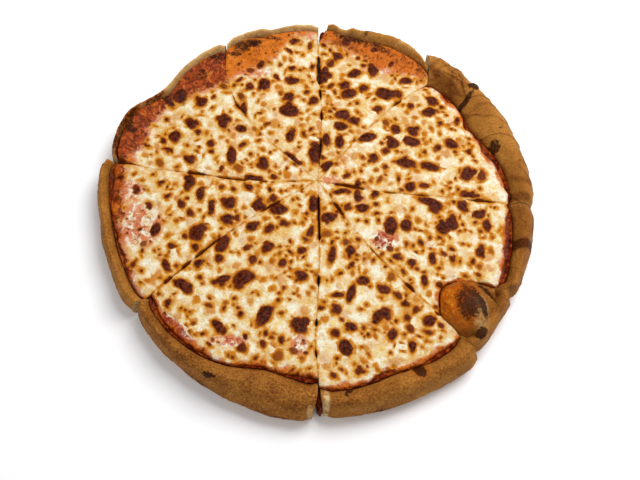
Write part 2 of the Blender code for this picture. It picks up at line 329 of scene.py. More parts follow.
@dataclass(frozen=True)
class Slice:
    """Sizes in mm of one slice, at even steps from its first cut, clockwise, to its second one.

    The rows give the crust's outer radius, the width and height of its roll, the cheese's outer
    radius and the radius where the cheese stops being pale, which only slices with a toasted border
    have. Climb is how far the cheese rises on the rim. The notch in the rim has its share of the
    slice, half width and depth. Fried, toast, reddened and folds run from 0 to 1: how grainy and how
    brown the dough is, how red the toasted cheese is, and how much the dough's skin is folded. Each
    blister has its distance from the hub, share of the slice, length, width and lean.
    """

    outer: tuple[float, ...]
    rim_width: tuple[float, ...]
    crest: tuple[float, ...]
    cheese: tuple[float, ...]
    pale: tuple[float, ...] = ()
    climb: float = 0.0
    notch: tuple[float, float, float] = (0.5, 1.0, 0.0)
    fried: float = 0.3
    toast: float = 0.5
    reddened: float = 0.3
    folds: float = 0.12
    blisters: tuple[tuple[float, ...], ...] = ()


SLICES = (
    Slice(outer=(178.5, 174.5, 177.5, 177.0, 168.5), rim_width=(6.0, 9.0, 13.0, 13.0, 8.0),
          crest=(26.0, 26.5, 27.0, 27.0, 26.5), cheese=(168.0, 163.0, 162.5, 162.5, 159.0),
          pale=(156.0, 151.0, 142.0, 146.0, 151.0), climb=3.0, notch=(0.14, 7.0, 2.0), fried=0.35,
          toast=0.4, folds=0.6, reddened=0.4,
          blisters=((15, 0.84, 12, 8, 40), (40, 0.17, 14, 8, 95), (41, 0.62, 12, 8, 95),
                    (56, 0.48, 13, 7, 0), (65, 0.68, 10, 7, 155), (67, 0.39, 12, 10, 30),
                    (88, 0.42, 14, 10, 30), (96, 0.32, 9, 9, 0), (103, 0.05, 19, 8, 80),
                    (104, 0.83, 21, 11, 0), (110, 0.39, 14, 8, 30), (119, 0.55, 13, 9, 95),
                    (125, 0.17, 10, 8, 20), (126, 0.87, 12, 7, 10))),
    Slice(outer=(181.0, 181.0, 182.0, 179.5, 177.5), rim_width=(28.0, 28.0, 33.0, 23.0, 19.0),
          crest=(29.0, 30.0, 30.5, 29.5, 29.0), cheese=(149.0, 150.5, 146.0, 152.5, 154.0),
          fried=0.25, toast=0.5, folds=1.0,
          blisters=((51, 0.41, 8, 9, 0), (59, 0.08, 17, 8, 25), (73, 0.33, 12, 10, 20),
                    (76, 0.63, 17, 9, 175), (77, 0.92, 10, 9, 30), (84, 0.2, 9, 9, 0),
                    (88, 0.4, 15, 9, 170), (94, 0.31, 11, 9, 120), (95, 0.71, 19, 9, 0),
                    (118, 0.21, 15, 9, 20), (119, 0.53, 14, 9, 160), (125, 0.8, 12, 13, 0),
                    (126, 0.97, 17, 5, 0), (127, 0.13, 12, 10, 155))),
    Slice(outer=(177.5, 175.0, 172.5, 171.5, 172.5), rim_width=(20.0, 16.0, 12.0, 12.0, 12.0),
          crest=(29.0, 29.0, 28.5, 29.0, 28.5), cheese=(153.0, 153.5, 155.0, 155.0, 153.0),
          notch=(0.6, 4.5, 3.0), fried=0.3, toast=0.6, folds=0.45,
          blisters=((21, 0.37, 14, 5, 10), (35, 0.25, 11, 7, 95), (43, 0.5, 12, 10, 20),
                    (71, 0.56, 15, 11, 85), (81, 0.45, 10, 10, 0), (94, 0.08, 24, 7, 165),
                    (109, 0.33, 12, 12, 0), (114, 0.26, 11, 12, 0), (113, 0.65, 11, 6, 85),
                    (120, 0.07, 11, 7, 120), (134, 0.12, 10, 9, 155), (120, 0.87, 11, 6, 85),
                    (142, 0.2, 11, 7, 90), (144, 0.41, 11, 7, 85))),
    Slice(outer=(178.0, 175.5, 173.5, 173.0, 173.0), rim_width=(20.0, 19.0, 22.0, 19.0, 18.0),
          crest=(29.0, 30.0, 30.5, 30.5, 29.5), cheese=(154.0, 153.0, 149.0, 151.5, 150.5),
          fried=0.8, toast=0.58,
          blisters=((34, 0.61, 12, 8, 20), (67, 0.76, 16, 6, 90), (67, 0.35, 9, 8, 0),
                    (93, 0.37, 9, 8, 0), (100, 0.59, 18, 6, 80), (100, 0.77, 12, 5, 15),
                    (107, 0.23, 11, 8, 0), (124, 0.4, 18, 10, 45), (125, 0.14, 9, 6, 0),
                    (126, 0.69, 10, 6, 150), (142, 0.39, 11, 8, 75), (142, 0.78, 14, 11, 125),
                    (146, 0.09, 11, 9, 45), (156, 0.31, 10, 6, 90))),
    Slice(outer=(175.5, 174.5, 173.0, 171.5, 170.0), rim_width=(25.0, 30.0, 19.0, 13.0, 11.0),
          crest=(29.5, 31.0, 31.0, 29.5, 28.0), cheese=(144.5, 142.5, 151.5, 155.5, 154.5),
          fried=1.0, toast=0.64,
          blisters=((21, 0.16, 16, 9, 90), (42, 0.88, 14, 12, 0), (45, 0.12, 10, 6, 90),
                    (67, 0.9, 10, 8, 40), (72, 0.59, 11, 8, 40), (85, 0.16, 9, 9, 0),
                    (94, 0.95, 17, 11, 70), (103, 0.61, 20, 12, 25), (115, 0.74, 14, 7, 25),
                    (123, 0.35, 20, 11, 65), (124, 0.11, 17, 12, 150), (139, 0.91, 17, 9, 145),
                    (146, 0.59, 13, 8, 130))),
    Slice(outer=(174.0, 174.5, 176.0, 179.5, 182.5), rim_width=(11.0, 10.5, 10.0, 9.0, 8.0),
          crest=(27.0, 26.5, 26.5, 27.0, 27.5), cheese=(162.0, 163.0, 164.5, 168.5, 172.0),
          pale=(162.0, 162.0, 160.0, 161.0, 164.0), fried=0.7, toast=0.58, reddened=0.8,
          blisters=((53, 0.19, 11, 10, 125), (74, 0.47, 12, 11, 40), (81, 0.2, 10, 10, 0),
                    (89, 0.48, 14, 6, 100), (96, 0.7, 13, 7, 85), (105, 0.87, 15, 9, 90),
                    (107, 0.21, 13, 14, 0), (136, 0.43, 13, 7, 75), (141, 0.1, 12, 6, 120),
                    (147, 0.79, 9, 7, 55))),
    Slice(outer=(177.0, 180.5, 168.5, 174.5, 175.5), rim_width=(5.0, 5.0, 5.5, 6.5, 7.5),
          crest=(26.5, 26.0, 26.0, 26.0, 26.0), cheese=(171.0, 174.0, 161.5, 166.5, 166.5),
          pale=(159.0, 157.0, 153.0, 145.0, 140.0), climb=3.5, fried=0.3, toast=0.12, reddened=1.0,
          blisters=((47, 0.45, 13, 8, 115), (52, 0.02, 16, 7, 0), (75, 0.36, 20, 7, 100),
                    (80, 0.83, 10, 8, 0), (96, 0.74, 17, 9, 100), (108, 0.13, 12, 8, 145),
                    (118, 0.48, 14, 9, 135), (123, 0.69, 12, 9, 55), (125, 0.3, 10, 11, 0),
                    (140, 0.58, 15, 12, 75))),
    Slice(outer=(176.0, 176.0, 174.0, 174.5, 176.5), rim_width=(7.5, 6.0, 6.0, 7.0, 8.0),
          crest=(25.5, 26.0, 26.0, 26.0, 26.0), cheese=(167.0, 168.5, 166.5, 166.0, 167.0),
          pale=(143.0, 142.0, 143.0, 162.0, 164.0), climb=3.5, fried=0.3, toast=0.06, reddened=0.15,
          blisters=((26, 0.83, 20, 10, 90), (28, 0.04, 16, 7, 150), (48, 0.37, 14, 8, 90),
                    (71, 0.55, 18, 12, 175), (77, 0.91, 8, 8, 0), (84, 0.6, 9, 9, 0),
                    (99, 0.72, 15, 6, 10), (103, 0.38, 12, 10, 145), (92, 0.02, 15, 6, 90))),
)

# Burnt, raised, thin and white places in the cheese
CHEESE_PATCHES = {
    Mark.CHAR: (
        Patch(7, 145, 0.95, 14, 9, 8, 0.9), Patch(7, 141, 0.81, 13, 9, 8, 0.7),
        Patch(7, 159, 0.48, 44, 8, 138, 1.0), Patch(7, 169, 0.24, 44, 9, 120, 1.0),
        Patch(7, 138, 0.59, 20, 8, 121, 0.6), Patch(8, 142, 0.15, 20, 6, 35, 0.9),
        Patch(8, 145, 0.26, 30, 9, 20, 1.1), Patch(8, 145, 0.50, 20, 5, 0, 0.8),
        Patch(1, 144, 0.26, 34, 8, 172, 1.1), Patch(1, 143, 0.48, 34, 7, 160, 0.9),
    ),
    Mark.BUMP: (
        Patch(8, 131, 0.48, 38, 22, 8, 3.0),
    ),
    Mark.SAUCE_SHOWS: (
        Patch(6, 147, 0.50, 36, 44, 8, 1.05), Patch(6, 152, 0.79, 26, 20, 8, 1.0),
        Patch(3, 75, 0.78, 24, 18, 8, 1.4), Patch(3, 38, 0.35, 16, 14, 8, 0.7),
        Patch(7, 80, 0.79, 28, 20, 8, 0.6), Patch(8, 120, 0.26, 36, 15, 8, 0.9),
        Patch(1, 126, 0.64, 46, 11, 8, 0.9), Patch(5, 139, 0.09, 14, 17, 8, 1.2),
        Patch(5, 166, 0.78, 46, 9, 143, 1.6), Patch(5, 152, 0.50, 32, 10, 8, 1.2),
        Patch(3, 105, 0.54, 12, 8, 8, 0.7), Patch(2, 30, 0.15, 14, 20, 8, 0.6),
        Patch(2, 11, 0.80, 16, 12, 8, 0.9), Patch(2, 108, 0.56, 13, 9, 8, 0.5),
    ),
    Mark.WHITE: (
        Patch(2, 56, 0.09, 12, 13, 8, 1.0), Patch(7, 27, 0.78, 26, 14, 8, 1.0),
        Patch(2, 118, 0.93, 14, 8, 8, 1.0), Patch(4, 80, 0.14, 15, 9, 144, 1.0),
        Patch(3, 131, 0.77, 14, 18, 8, 1.0),
    ),
}

# Burnt, glazed and torn places, bands of painted shade, dents and bumps in the dough
CRUST_PATCHES = {
    Mark.CHAR: (
        Patch(5, 182, 0.50, 11, 3, 172, 1.4), Patch(4, 176, 0.83, 9, 4, 61, 1.4),
        Patch(4, 175, 0.36, 9, 13, 17, 1.4), Patch(4, 166, 0.44, 10, 9, 17, 1.1),
        Patch(1, 155, 0.39, 11, 4, 52, 0.9), Patch(1, 163, 0.44, 12, 3, 62, 0.7),
        Patch(2, 157, 0.13, 15, 2, 130, 0.4), Patch(2, 155, 0.21, 17, 2, 152, 0.4),
        Patch(2, 154, 0.26, 20, 3, 110, 0.4), Patch(2, 162, 0.32, 9, 8, 8, 1.6),
        Patch(2, 149, 0.32, 20, 5, 58, 1.1), Patch(2, 152, 0.66, 12, 9, 74, 1.1),
        Patch(2, 163, 0.60, 12, 2, 29, 0.5), Patch(3, 179, 0.92, 10, 8, 50, 1.5),
        Patch(3, 156, 0.83, 20, 30, 7, 1.0), Patch(3, 160, 0.85, 10, 13, 7, 1.5),
        Patch(3, 164, 0.79, 24, 6, 118, 1.3), Patch(3, 163, 0.69, 20, 5, 145, 1.2),
        Patch(7, 174, 0.14, 48, 24, 100, 0.8), Patch(7, 171, 0.27, 48, 24, 118, 0.8),
        Patch(7, 164, 0.42, 48, 22, 135, 0.7),
    ),
    Mark.GLAZE: (
        Patch(7, 174, 0.14, 52, 26, 100, 0.9), Patch(7, 171, 0.27, 52, 26, 118, 0.9),
        Patch(7, 164, 0.42, 52, 24, 135, 0.8), Patch(3, 146, 0.90, 26, 48, 130, 1.0),
        Patch(3, 140, 0.72, 10, 40, 130, 0.8), Patch(3, 157, 0.90, 30, 26, 130, 0.75),
        Patch(4, 175, 0.36, 14, 16, 17, 0.5), Patch(4, 166, 0.44, 14, 12, 17, 0.5),
    ),
    # Painted shade: darker bands along the hub-facing foot of the rims and of the bubble on slices 2
    # and 3, which face away from the window light
    Mark.SHADE_BAND: (
        Patch(3, 141, 0.91, 8, 44, 132, 0.9), Patch(3, 156, 0.31, 9, 60, 91, 0.8),
        Patch(2, 150, 0.95, 9, 60, 82, 0.4), Patch(2, 146, 0.14, 38, 9, 135, 0.35),
    ),
    Mark.TORN: (
        Patch(4, 185, 0.985, 5, 26, 4, 0.9), Patch(5, 189, 0.015, 4, 8, 4, 0.7),
        Patch(6, 165, 0.02, 5, 12, 45, 0.6), Patch(3, 169, 0.84, 12, 26, 10, 0.45),
    ),
    Mark.DENT: (
        Patch(2, 157, 0.13, 24, 2.5, 130, 1.6), Patch(2, 155, 0.21, 26, 2.5, 152, 1.6),
        Patch(2, 155, 0.26, 28, 3, 112, 1.8), Patch(2, 162, 0.32, 9, 8, 8, 2.4),
        Patch(3, 179, 0.92, 10, 6, 50, 2.0), Patch(3, 170, 0.60, 26, 5, 20, 1.2),
        Patch(4, 176, 0.83, 8, 2, 61, 0.8), Patch(5, 182, 0.50, 9, 2, 172, 0.9),
    ),
    Mark.BUMP: (
        Patch(4, 175, 0.36, 10, 14, 17, 1.2), Patch(4, 166, 0.44, 11, 10, 17, 1.0),
    ),
}


def patch_field(layout: Layout, patches: tuple[Patch, ...], x: Array, y: Array) -> Array:
    """Strength of one kind of mark over the plan.

    Each patch is an ellipse whose strength is full in the middle half and falls to nothing a little
    beyond its outline, along a curve in the squared distance. Where patches overlap, the stronger
    one counts.

    Args:
        layout: Plan of the pizza.
        patches: All marks of the kind.
        x: Plan positions, in mm.
        y: Plan positions, in mm.

    Returns:
        Strength at each position.
    """
    total = np.zeros(np.shape(x))
    for patch in patches:
        middle = layout.plan(patch.number - 1, patch.share, float(patch.distance), Layer.CRUST)
        turn = math.radians(patch.lean)
        dx, dy = x - middle[0], y - middle[1]
        lengthways = (dx * math.cos(turn) + dy * math.sin(turn)) * 2.0 / patch.length
        sideways = (dy * math.cos(turn) - dx * math.sin(turn)) * 2.0 / patch.width
        inside = 1.0 - smooth_step(*PATCH_FADE, lengthways ** 2 + sideways ** 2)
        total = np.maximum(total, patch.strength * inside)
    return total


@dataclass
class Surface:
    """A closed surface under construction: points in mm, triangles, and values on the points."""

    points: Array
    triangles: Array
    values: dict[str, Array] = field(default_factory=dict)
    floor_loop: Array | None = None

    def add_strip(self, edge: Array, feet: Array, levels: int,
                  values: dict[str, float | Array]) -> Array:
        """Hang an upright strip from an edge down to its feet.

        A point of the strip lies on the straight line from an edge point to its foot, at equal
        steps.

        Args:
            edge: Indices of the edge's points, in order.
            feet: Places of the strip's lower end, one for each edge point.
            levels: Number of steps from edge to foot.
            values: Value of each named attribute on the new points, or one for each edge point.

        Returns:
            Indices of the strip's lowest points.
        """
        step = np.linspace(0.0, 1.0, levels + 1)[:, None, None]
        start = self.points[edge]
        rows = start + (feet - start) * step
        first = len(self.points)
        self.points = np.concatenate((self.points, rows.reshape(-1, 3)))
        count = rows.shape[0] * rows.shape[1]
        for name, old in self.values.items():
            new = np.broadcast_to(values.get(name, old[edge]), edge.shape)
            self.values[name] = np.concatenate((old, np.tile(new, rows.shape[0])))
        index = first + np.arange(count).reshape(rows.shape[:2])
        self.triangles = np.concatenate((self.triangles, grid_triangles(index)))
        return index[-1]

    def close_grid(self, index: Array, feet: Callable[[Array], Array], levels: int,
                   values: dict[str, float | Array]) -> None:
        """Hang a strip from each of a grid's two sides and note the loop that closes it below.

        Args:
            index: Indices of the grid's points, its last row lowest.
            feet: Works out where the strip from an edge ends below.
            levels: Number of steps from edge to foot.
            values: Value of each named attribute on the strips.
        """
        sides = (index[:, 0], index[:, -1])
        first, last = (self.add_strip(side, feet(self.points[side]), levels, values) for side in sides)
        self.floor_loop = np.concatenate((first, index[-1], last[::-1]))

    def add_grid(self, points: Array, values: dict[str, float]) -> None:
        """Add a grid of points that closes on itself.

        Args:
            points: The grid.
            values: Value of each named attribute, the same all over. What isn't named is 0.
        """
        rows, columns = points.shape[:2]
        index = len(self.points) + np.arange(rows * columns).reshape(rows, columns)
        self.points = np.concatenate((self.points, points.reshape(-1, 3)))
        self.triangles = np.concatenate((self.triangles, grid_triangles(index)))
        for name, old in self.values.items():
            self.values[name] = np.concatenate((old, np.full(rows * columns, values.get(name, 0.0))))

    def make(self, name: str, finish: bpy.types.Material, sharp_degrees: float) -> bpy.types.Object:
        """Weld the points that coincide, close the underside and make the piece.

        Args:
            name: Name of the piece.
            finish: Its material.
            sharp_degrees: Angle above which an edge stays sharp.

        Returns:
            The piece, linked into the scene.
        """
        keys = np.round(self.points / WELD).astype(np.int64)
        _, first, back = np.unique(keys, axis=0, return_index=True, return_inverse=True)
        back = back.reshape(-1)
        triangles = back[self.triangles]
        same = (triangles == np.roll(triangles, 1, axis=1)).any(axis=1)
        faces = triangles[~same].tolist()
        if self.floor_loop is not None:
            loop = back[self.floor_loop]
            faces.append(loop[loop != np.roll(loop, 1)].tolist())
        mesh = bpy.data.meshes.new(name)
        mesh.from_pydata((self.points[first] * MM).tolist(), [], faces)
        mesh.validate()
        for label, values in self.values.items():
            layer = mesh.attributes.new(label, "FLOAT", "POINT")
            layer.data.foreach_set("value", values[first].astype(np.float32))
        mesh.materials.append(finish)
        turned = bmesh.new()
        turned.from_mesh(mesh)
        bmesh.ops.recalc_face_normals(turned, faces=turned.faces)
        turned.to_mesh(mesh)
        turned.free()
        mesh.shade_smooth()
        mesh.set_sharp_from_angle(angle=math.radians(sharp_degrees))
        piece = bpy.data.objects.new(name, mesh)
        bpy.context.scene.collection.objects.link(piece)
        return piece


@dataclass(frozen=True)
class Drip:
    """A lump of sauce in a cut: its slice, counted from 1, where it hangs, and its half sizes out,
    across and up, in mm."""

    number: int
    share: float
    distance: float
    height: float
    out: float
    across: float
    up: float
    rows: int = 24
    waist: float = 0.12
    waves: float = 0.1

    def points(self, layout: Layout) -> Array:
        """Work out an ellipsoid whose sides swell and shrink by two sines.

        Args:
            layout: Plan of the pizza.

        Returns:
            Grid of points, in rows from pole to pole.
        """
        angle = float(layout.bearing(self.number - 1, self.share, self.distance, Layer.CRUST))
        middle = layout.plan(self.number - 1, self.share, float(self.distance), Layer.CRUST)
        fall = np.linspace(0.0, math.pi, self.rows + 1)[:, None]
        turn = np.linspace(0.0, 2.0 * math.pi, 2 * self.rows + 1)[None, :]
        swell = 1.0 + self.waist * np.sin(3.0 * turn) * np.sin(fall) + self.waves * np.sin(4.0 * fall)
        out = self.out * np.sin(fall) * np.cos(turn) * swell
        across = self.across * np.sin(fall) * np.sin(turn) * swell
        x = middle[0] + out * math.cos(angle) - across * math.sin(angle)
        y = middle[1] + out * math.sin(angle) + across * math.cos(angle)
        return np.stack((x, y, self.height + self.up * np.cos(fall) * swell), -1)


DRIPS = (
    Drip(number=4, share=1.005, distance=178.0, height=9.5, out=9.0, across=2.8, up=8.5),
    Drip(number=4, share=1.015, distance=184.0, height=5.0, out=4.5, across=2.2, up=4.6),
    Drip(number=1, share=0.01, distance=144.0, height=17.5, out=7.0, across=4.0, up=4.5),
)


def at_height(points: Array, height: float) -> Array:
    """Copy points in plan, all at one height."""
    level = points.copy()
    level[:, 2] = height
    return level


def grid_triangles(index: Array) -> Array:
    """Split each cell of a grid of point indices into two triangles."""
    a, b, c, d = index[:-1, :-1], index[1:, :-1], index[1:, 1:], index[:-1, 1:]
    halves = (np.stack((a, b, c), -1), np.stack((a, c, d), -1))
    return np.concatenate([half.reshape(-1, 3) for half in halves])


@dataclass(frozen=True)
class Heights:
    """Heights above the table, in mm, shared by the layers."""

    floor: float = 14.0
    lip: float = 16.6
    wall_top: float = 13.0
    sauce_bottom: float = 14.3
    sauce_top: float = 16.0
    cheese_bottom: float = 16.3
    cheese_top: float = 20.8
    cheese_edge: float = 18.6


@dataclass(frozen=True)
class SlicePart:
    """What the parts of one slice share: the plan, the slice's number from 0, and heights."""

    layout: Layout
    number: int
    heights: Heights = Heights()

    @property
    def sizes(self) -> Slice:
        """Sizes of this slice."""
        return SLICES[self.number]

    def place(self, piece: bpy.types.Object, layer: Layer) -> bpy.types.Object:
        """Put a piece in the place of its solid, on the body that carries it.

        Args:
            piece: The piece.
            layer: The layer it shows.

        Returns:
            The piece.
        """
        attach(piece, BODY)
        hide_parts(f"{layer.value}_{self.number + 1}")
        log.info("%s: %d faces", piece.name, len(piece.data.polygons))
        return piece


@dataclass(frozen=True)
class DoughBubble:
    """The round bubble in the rim of the third slice, beside its second cut."""

    number: int = 2
    distance: float = 158.0
    from_cut: float = 20.0
    half_length: float = 24.0
    half_width_at_cut: float = 21.0
    half_width: float = 23.0
    height: float = 18.5
    power: float = 0.6
    bay_width: float = 28.0
    bay_depth: float = 39.0
    bay_power: float = 0.7

    def sideways(self, layout: Layout, share: Array) -> Array:
        """Distance in mm from the bubble's middle line, positive away from its cut."""
        return (1.0 - share) * layout.span(self.number, self.distance) * self.distance - self.from_cut

    def top(self, layout: Layout, share: Array, distance: Array) -> Array:
        """Height of the dome over the rim's foot: an ellipsoid with a steeper foot."""
        sideways = self.sideways(layout, share)
        half_width = np.where(sideways < 0.0, self.half_width_at_cut, self.half_width)
        lengthways = (distance - self.distance) / self.half_length
        inside = np.clip(1.0 - lengthways ** 2 - (sideways / half_width) ** 2, 0.0, 1.0)
        return self.height * inside ** self.power

    def bay(self, layout: Layout, share: Array) -> Array:
        """How far the rim's foot runs in around the bubble."""
        sideways = self.sideways(layout, share) / self.bay_width
        return self.bay_depth * np.clip(1.0 - sideways ** 2, 0.0, 1.0) ** self.bay_power


@dataclass(frozen=True)
class Dough(SlicePart):
    """Fried pan dough of one slice: flat floor, rounded rim, outer wall and two cut faces."""

    bubble: DoughBubble = DoughBubble()
    columns: int = 190
    arch_rows: int = 84
    wall_rows: int = 30
    face_rows: int = 14
    shoulder_width: float = 5.0
    shoulder_drop: float = 2.4
    lump: float = 0.9
    arch_power: float = 0.75
    rim_distance: float = 170.0
    wall_inset: float = 4.5
    fold_width: float = 0.1
    fold_depth: float = 0.9
    inner_rows: tuple[float, ...] = (25.0, 50.0, 75.0, 100.0, 120.0)
    lump_relief: float = 0.55
    lump_length: float = 13.0
    plain_relief: float = 0.10
    fried_relief: float = 0.22
    grain_length: float = 2.6
    streak_relief: float = 0.35
    streak_length: float = 3.4
    streak_stretch: float = 5.0
    groove_height: float = 14.5
    groove_width: float = 1.6
    groove_depth: float = 0.9
    char_height: tuple[float, float] = (10.0, 20.0)
    top_height: tuple[float, float] = (22.0, 31.0)
    band_height: float = 12.0
    band_width: float = 2.6
    mottle_length: float = 14.0
    toast_of_mottle: float = 0.12
    toast_of_top: float = 0.08
    # Painted shade in the creases of the folds
    shade_in_folds: float = 0.14
    toast_of_band: float = 0.45
    darker_at_foot: float = 0.35
    # Painted shade: how dark the bands on the hub-facing sides of the rims are
    shade_of_bands: float = 0.6
    pale_below: float = 0.12
    # Painted shade: how far the cut faces below the rim are darkened
    cut_face_shade_strength: float = 0.85
    sharp_degrees: float = 55.0
    grain: Grain = Grain(21)

    def lumps(self, share: Array, pitch: float) -> Array:
        """Soft unevenness of hand-pressed dough: three sines along the rim."""
        turn = 2.0 * math.pi * (self.number + share)
        long_wave = 0.5 * np.sin(1.7 * turn * pitch + pitch)
        return long_wave + 0.3 * np.sin(3.1 * turn + 2.0 * pitch) + 0.2 * np.sin(5.3 * turn)

    def drop(self, share: Array, distance: Array) -> Array:
        """How far the roll sinks where it rounds over at a cut and in a notch."""
        to_cut = self.layout.to_cut(self.number, share, distance)
        middle, half_width, depth = self.sizes.notch
        along_rim = (share - middle) * self.layout.span(self.number, distance) * distance
        corner = self.shoulder_drop * np.exp(-np.square(to_cut / self.shoulder_width))
        return corner + depth * np.exp(-np.power(along_rim / half_width, 4))

    def outside(self, share: Array) -> Array:
        """Distance from the hub to the widest line of the crust."""
        distance = self.layout.reach(self.number, share, along(self.sizes.outer, share))
        return distance + 0.5 * self.lump * self.lumps(share, 1.0) - self.drop(share, distance)

    def inside(self, share: Array) -> Array:
        """Distance from the hub to the inner foot of the rim."""
        foot = self.outside(share) - along(self.sizes.rim_width, share)
        return foot - self.bubble.bay(self.layout, share) if self.number == self.bubble.number else foot

    def height(self, share: Array, distance: Array) -> Array:
        """Height of the rim: a rounded roll, or the bubble's dome where that is higher."""
        outside, width = self.outside(share), along(self.sizes.rim_width, share)
        across = np.clip((distance - outside + width) / width, 0.0, 1.0)
        base = self.heights.lip + (self.heights.wall_top - self.heights.lip) * across
        crest = along(self.sizes.crest, share) + self.lump * self.lumps(share, 1.6)
        crest = crest - self.drop(share, self.rim_distance)
        roll = base + (crest - base) * np.sin(math.pi * across) ** self.arch_power
        roll = np.where(across >= 1.0, self.heights.wall_top, roll)
        if self.number != self.bubble.number:
            return roll
        dome = self.heights.lip + self.bubble.top(self.layout, share, distance)
        return np.maximum(roll, np.where(across >= 1.0, 0.0, dome))

    def skin(self) -> tuple[Array, Array, Array]:
        """Work out the skin as a grid, from the tip over floor and rim and down the outer wall.

        Rows follow the path across the slice. On the rim their places are half a cosine wave, so
        that they crowd at its foot and at the wall. The wall draws in towards the table by a cubic
        in its height.

        Returns:
            Points of the grid, the share of each column, and how far out on the rim each row is.
        """
        share = np.linspace(0.0, 1.0, self.columns + 1)
        outside, inside = self.outside(share), self.inside(share)
        flat = np.ones_like(share)
        rows = [(row * flat, self.heights.floor * flat) for row in (self.layout.tip, *self.inner_rows)]
        rows.append((inside, self.heights.floor * flat))
        rim_place = [-1.0] * len(rows)
        for step in np.linspace(0.0, 1.0, self.arch_rows + 1):
            distance = inside + (outside - inside) * (1.0 - math.cos(math.pi * step)) / 2.0
            height = self.height(share, distance) if step > 0.0 else self.heights.lip * flat
            rows.append((distance, height))
            rim_place.append(step)
        for step in np.linspace(0.0, 1.0, self.wall_rows + 1)[1:]:
            height = self.heights.wall_top * (1.0 - step) * flat
            rows.append((outside - self.wall_inset * step ** 3, height))
            rim_place.append(1.0 + step)
        distance = np.array([row[0] for row in rows])
        height = np.array([row[1] for row in rows])
        x, y = self.layout.plan(self.number, share[None, :], distance, Layer.CRUST)
        middle_x, middle_y = self.layout.plan(self.number, 0.5, self.layout.tip, Layer.CRUST)
        x[0], y[0] = middle_x, middle_y
        return np.stack((x, y, height), -1), share, np.array(rim_place)

    def creases(self, points: Array) -> Array:
        """Work out thin folds of the skin, where unevenness drawn out across the rim crosses zero.

        Args:
            points: Grid of the skin.

        Returns:
            Depth of the folds, from 0 to 1.
        """
        x, y = points[..., 0] - self.layout.hub[0], points[..., 1] - self.layout.hub[1]
        along_rim, out = np.arctan2(y, x) * self.rim_distance, np.hypot(x, y)
        bend = 5.0 * self.grain.layered(along_rim + 500.0, out, 13.0, 2)
        row = 0.45 * out + 40.0 * self.number
        folded = self.grain.layered(along_rim + bend + 0.5 * out, row, 15.0, 2)
        return self.sizes.folds * np.exp(-np.square(folded / self.fold_width))

    def relief(self, points: Array, share: Array, rim_place: Array) -> Array:
        """Move the skin along its normal by lumps, fried grain, streaks and dents.

        The normal is the cross product of the grid's two directions. The move is zero at the rim's
        foot and on the table.

        Args:
            points: Grid of the skin.
            share: Share of each column.
            rim_place: How far out each row is: 0 to 1 over the rim, 1 to 2 down the wall.

        Returns:
            The moved grid.
        """
        down = np.gradient(points, axis=0)
        along_rim = np.gradient(points, axis=1)
        normal = np.cross(down, along_rim)
        normal /= np.maximum(np.linalg.norm(normal, axis=-1, keepdims=True), 1e-9)
        path = np.cumsum(np.linalg.norm(np.diff(points, axis=0, prepend=points[:1]), axis=-1), axis=0)
        path = path - path[-1]
        rim_length = share * float(self.layout.span(self.number, self.rim_distance)) * self.rim_distance
        rim_length = np.broadcast_to(rim_length[None, :] + 200.0 * self.number, path.shape)
        fried = self.sizes.fried
        move = self.lump_relief * self.grain.layered(rim_length, path, self.lump_length, 2)
        fine = self.grain.layered(rim_length + 9.0, path, self.grain_length, 2)
        move = move + (self.plain_relief + self.fried_relief * fried) * fine
        drawn_out = self.grain.at(rim_length, path / self.streak_stretch, self.streak_length)
        streaks = self.grain.at(rim_length, path, self.streak_length) * drawn_out
        move = move + self.streak_relief * (1.0 - fried) * streaks
        groove = np.exp(-np.square((points[..., 2] - self.groove_height) / self.groove_width))
        groove = groove * (rim_place[:, None] > 0.5)
        broken = 0.5 + 0.5 * self.grain.at(rim_length, np.zeros_like(path), 17.0)
        move = move - self.groove_depth * groove * broken
        move = move - self.fold_depth * self.creases(points)
        x, y = points[..., 0], points[..., 1]
        move = move - patch_field(self.layout, CRUST_PATCHES[Mark.DENT], x, y)
        move = move + patch_field(self.layout, CRUST_PATCHES[Mark.BUMP], x, y)
        hold = smooth_step(0.0, 0.10, rim_place) * (1.0 - smooth_step(1.8, 2.0, rim_place))
        return points + normal * (move * hold[:, None])[..., None]

    def values(self, points: Array, rim_place: Array) -> dict[str, Array]:
        """Work out how toasted, burnt and glazed each point of the skin is, and where painted shade
        darkens it: in the creases of its folds and on the hub-facing sides of some rims.

        Args:
            points: Grid of the skin.
            rim_place: How far out each row is.

        Returns:
            Values from 0 to 1 under the names that the finish reads.
        """
        x, y, z = points[..., 0], points[..., 1], points[..., 2]
        on_rim = rim_place[:, None]
        mottle = self.grain.layered(x + 300.0, y + z, self.mottle_length, 3)
        toast = self.sizes.toast + self.toast_of_mottle * mottle
        toast = toast + self.toast_of_top * smooth_step(*self.top_height, z)
        # Painted shade: the dough is darker in the creases of its folds
        toast = toast + self.shade_in_folds * self.creases(points)
        uneven = self.grain.layered(np.hypot(x, y) * 0.3 + 40.0, np.arctan2(y, x) * 60.0 + z, 5.0, 3)
        band = np.exp(-np.square((z - self.band_height - 2.0 * mottle) / self.band_width))
        toast = toast + self.toast_of_band * band * (0.6 + uneven)
        toast = toast - self.pale_below * (on_rim > 1.0) * smooth_step(9.0, 6.0, z)
        # The dough is made darker along the inner foot of the rim
        foot = np.exp(-np.square((on_rim - 0.02) / 0.12)) * (on_rim >= 0.0)
        toast = toast + self.darker_at_foot * foot
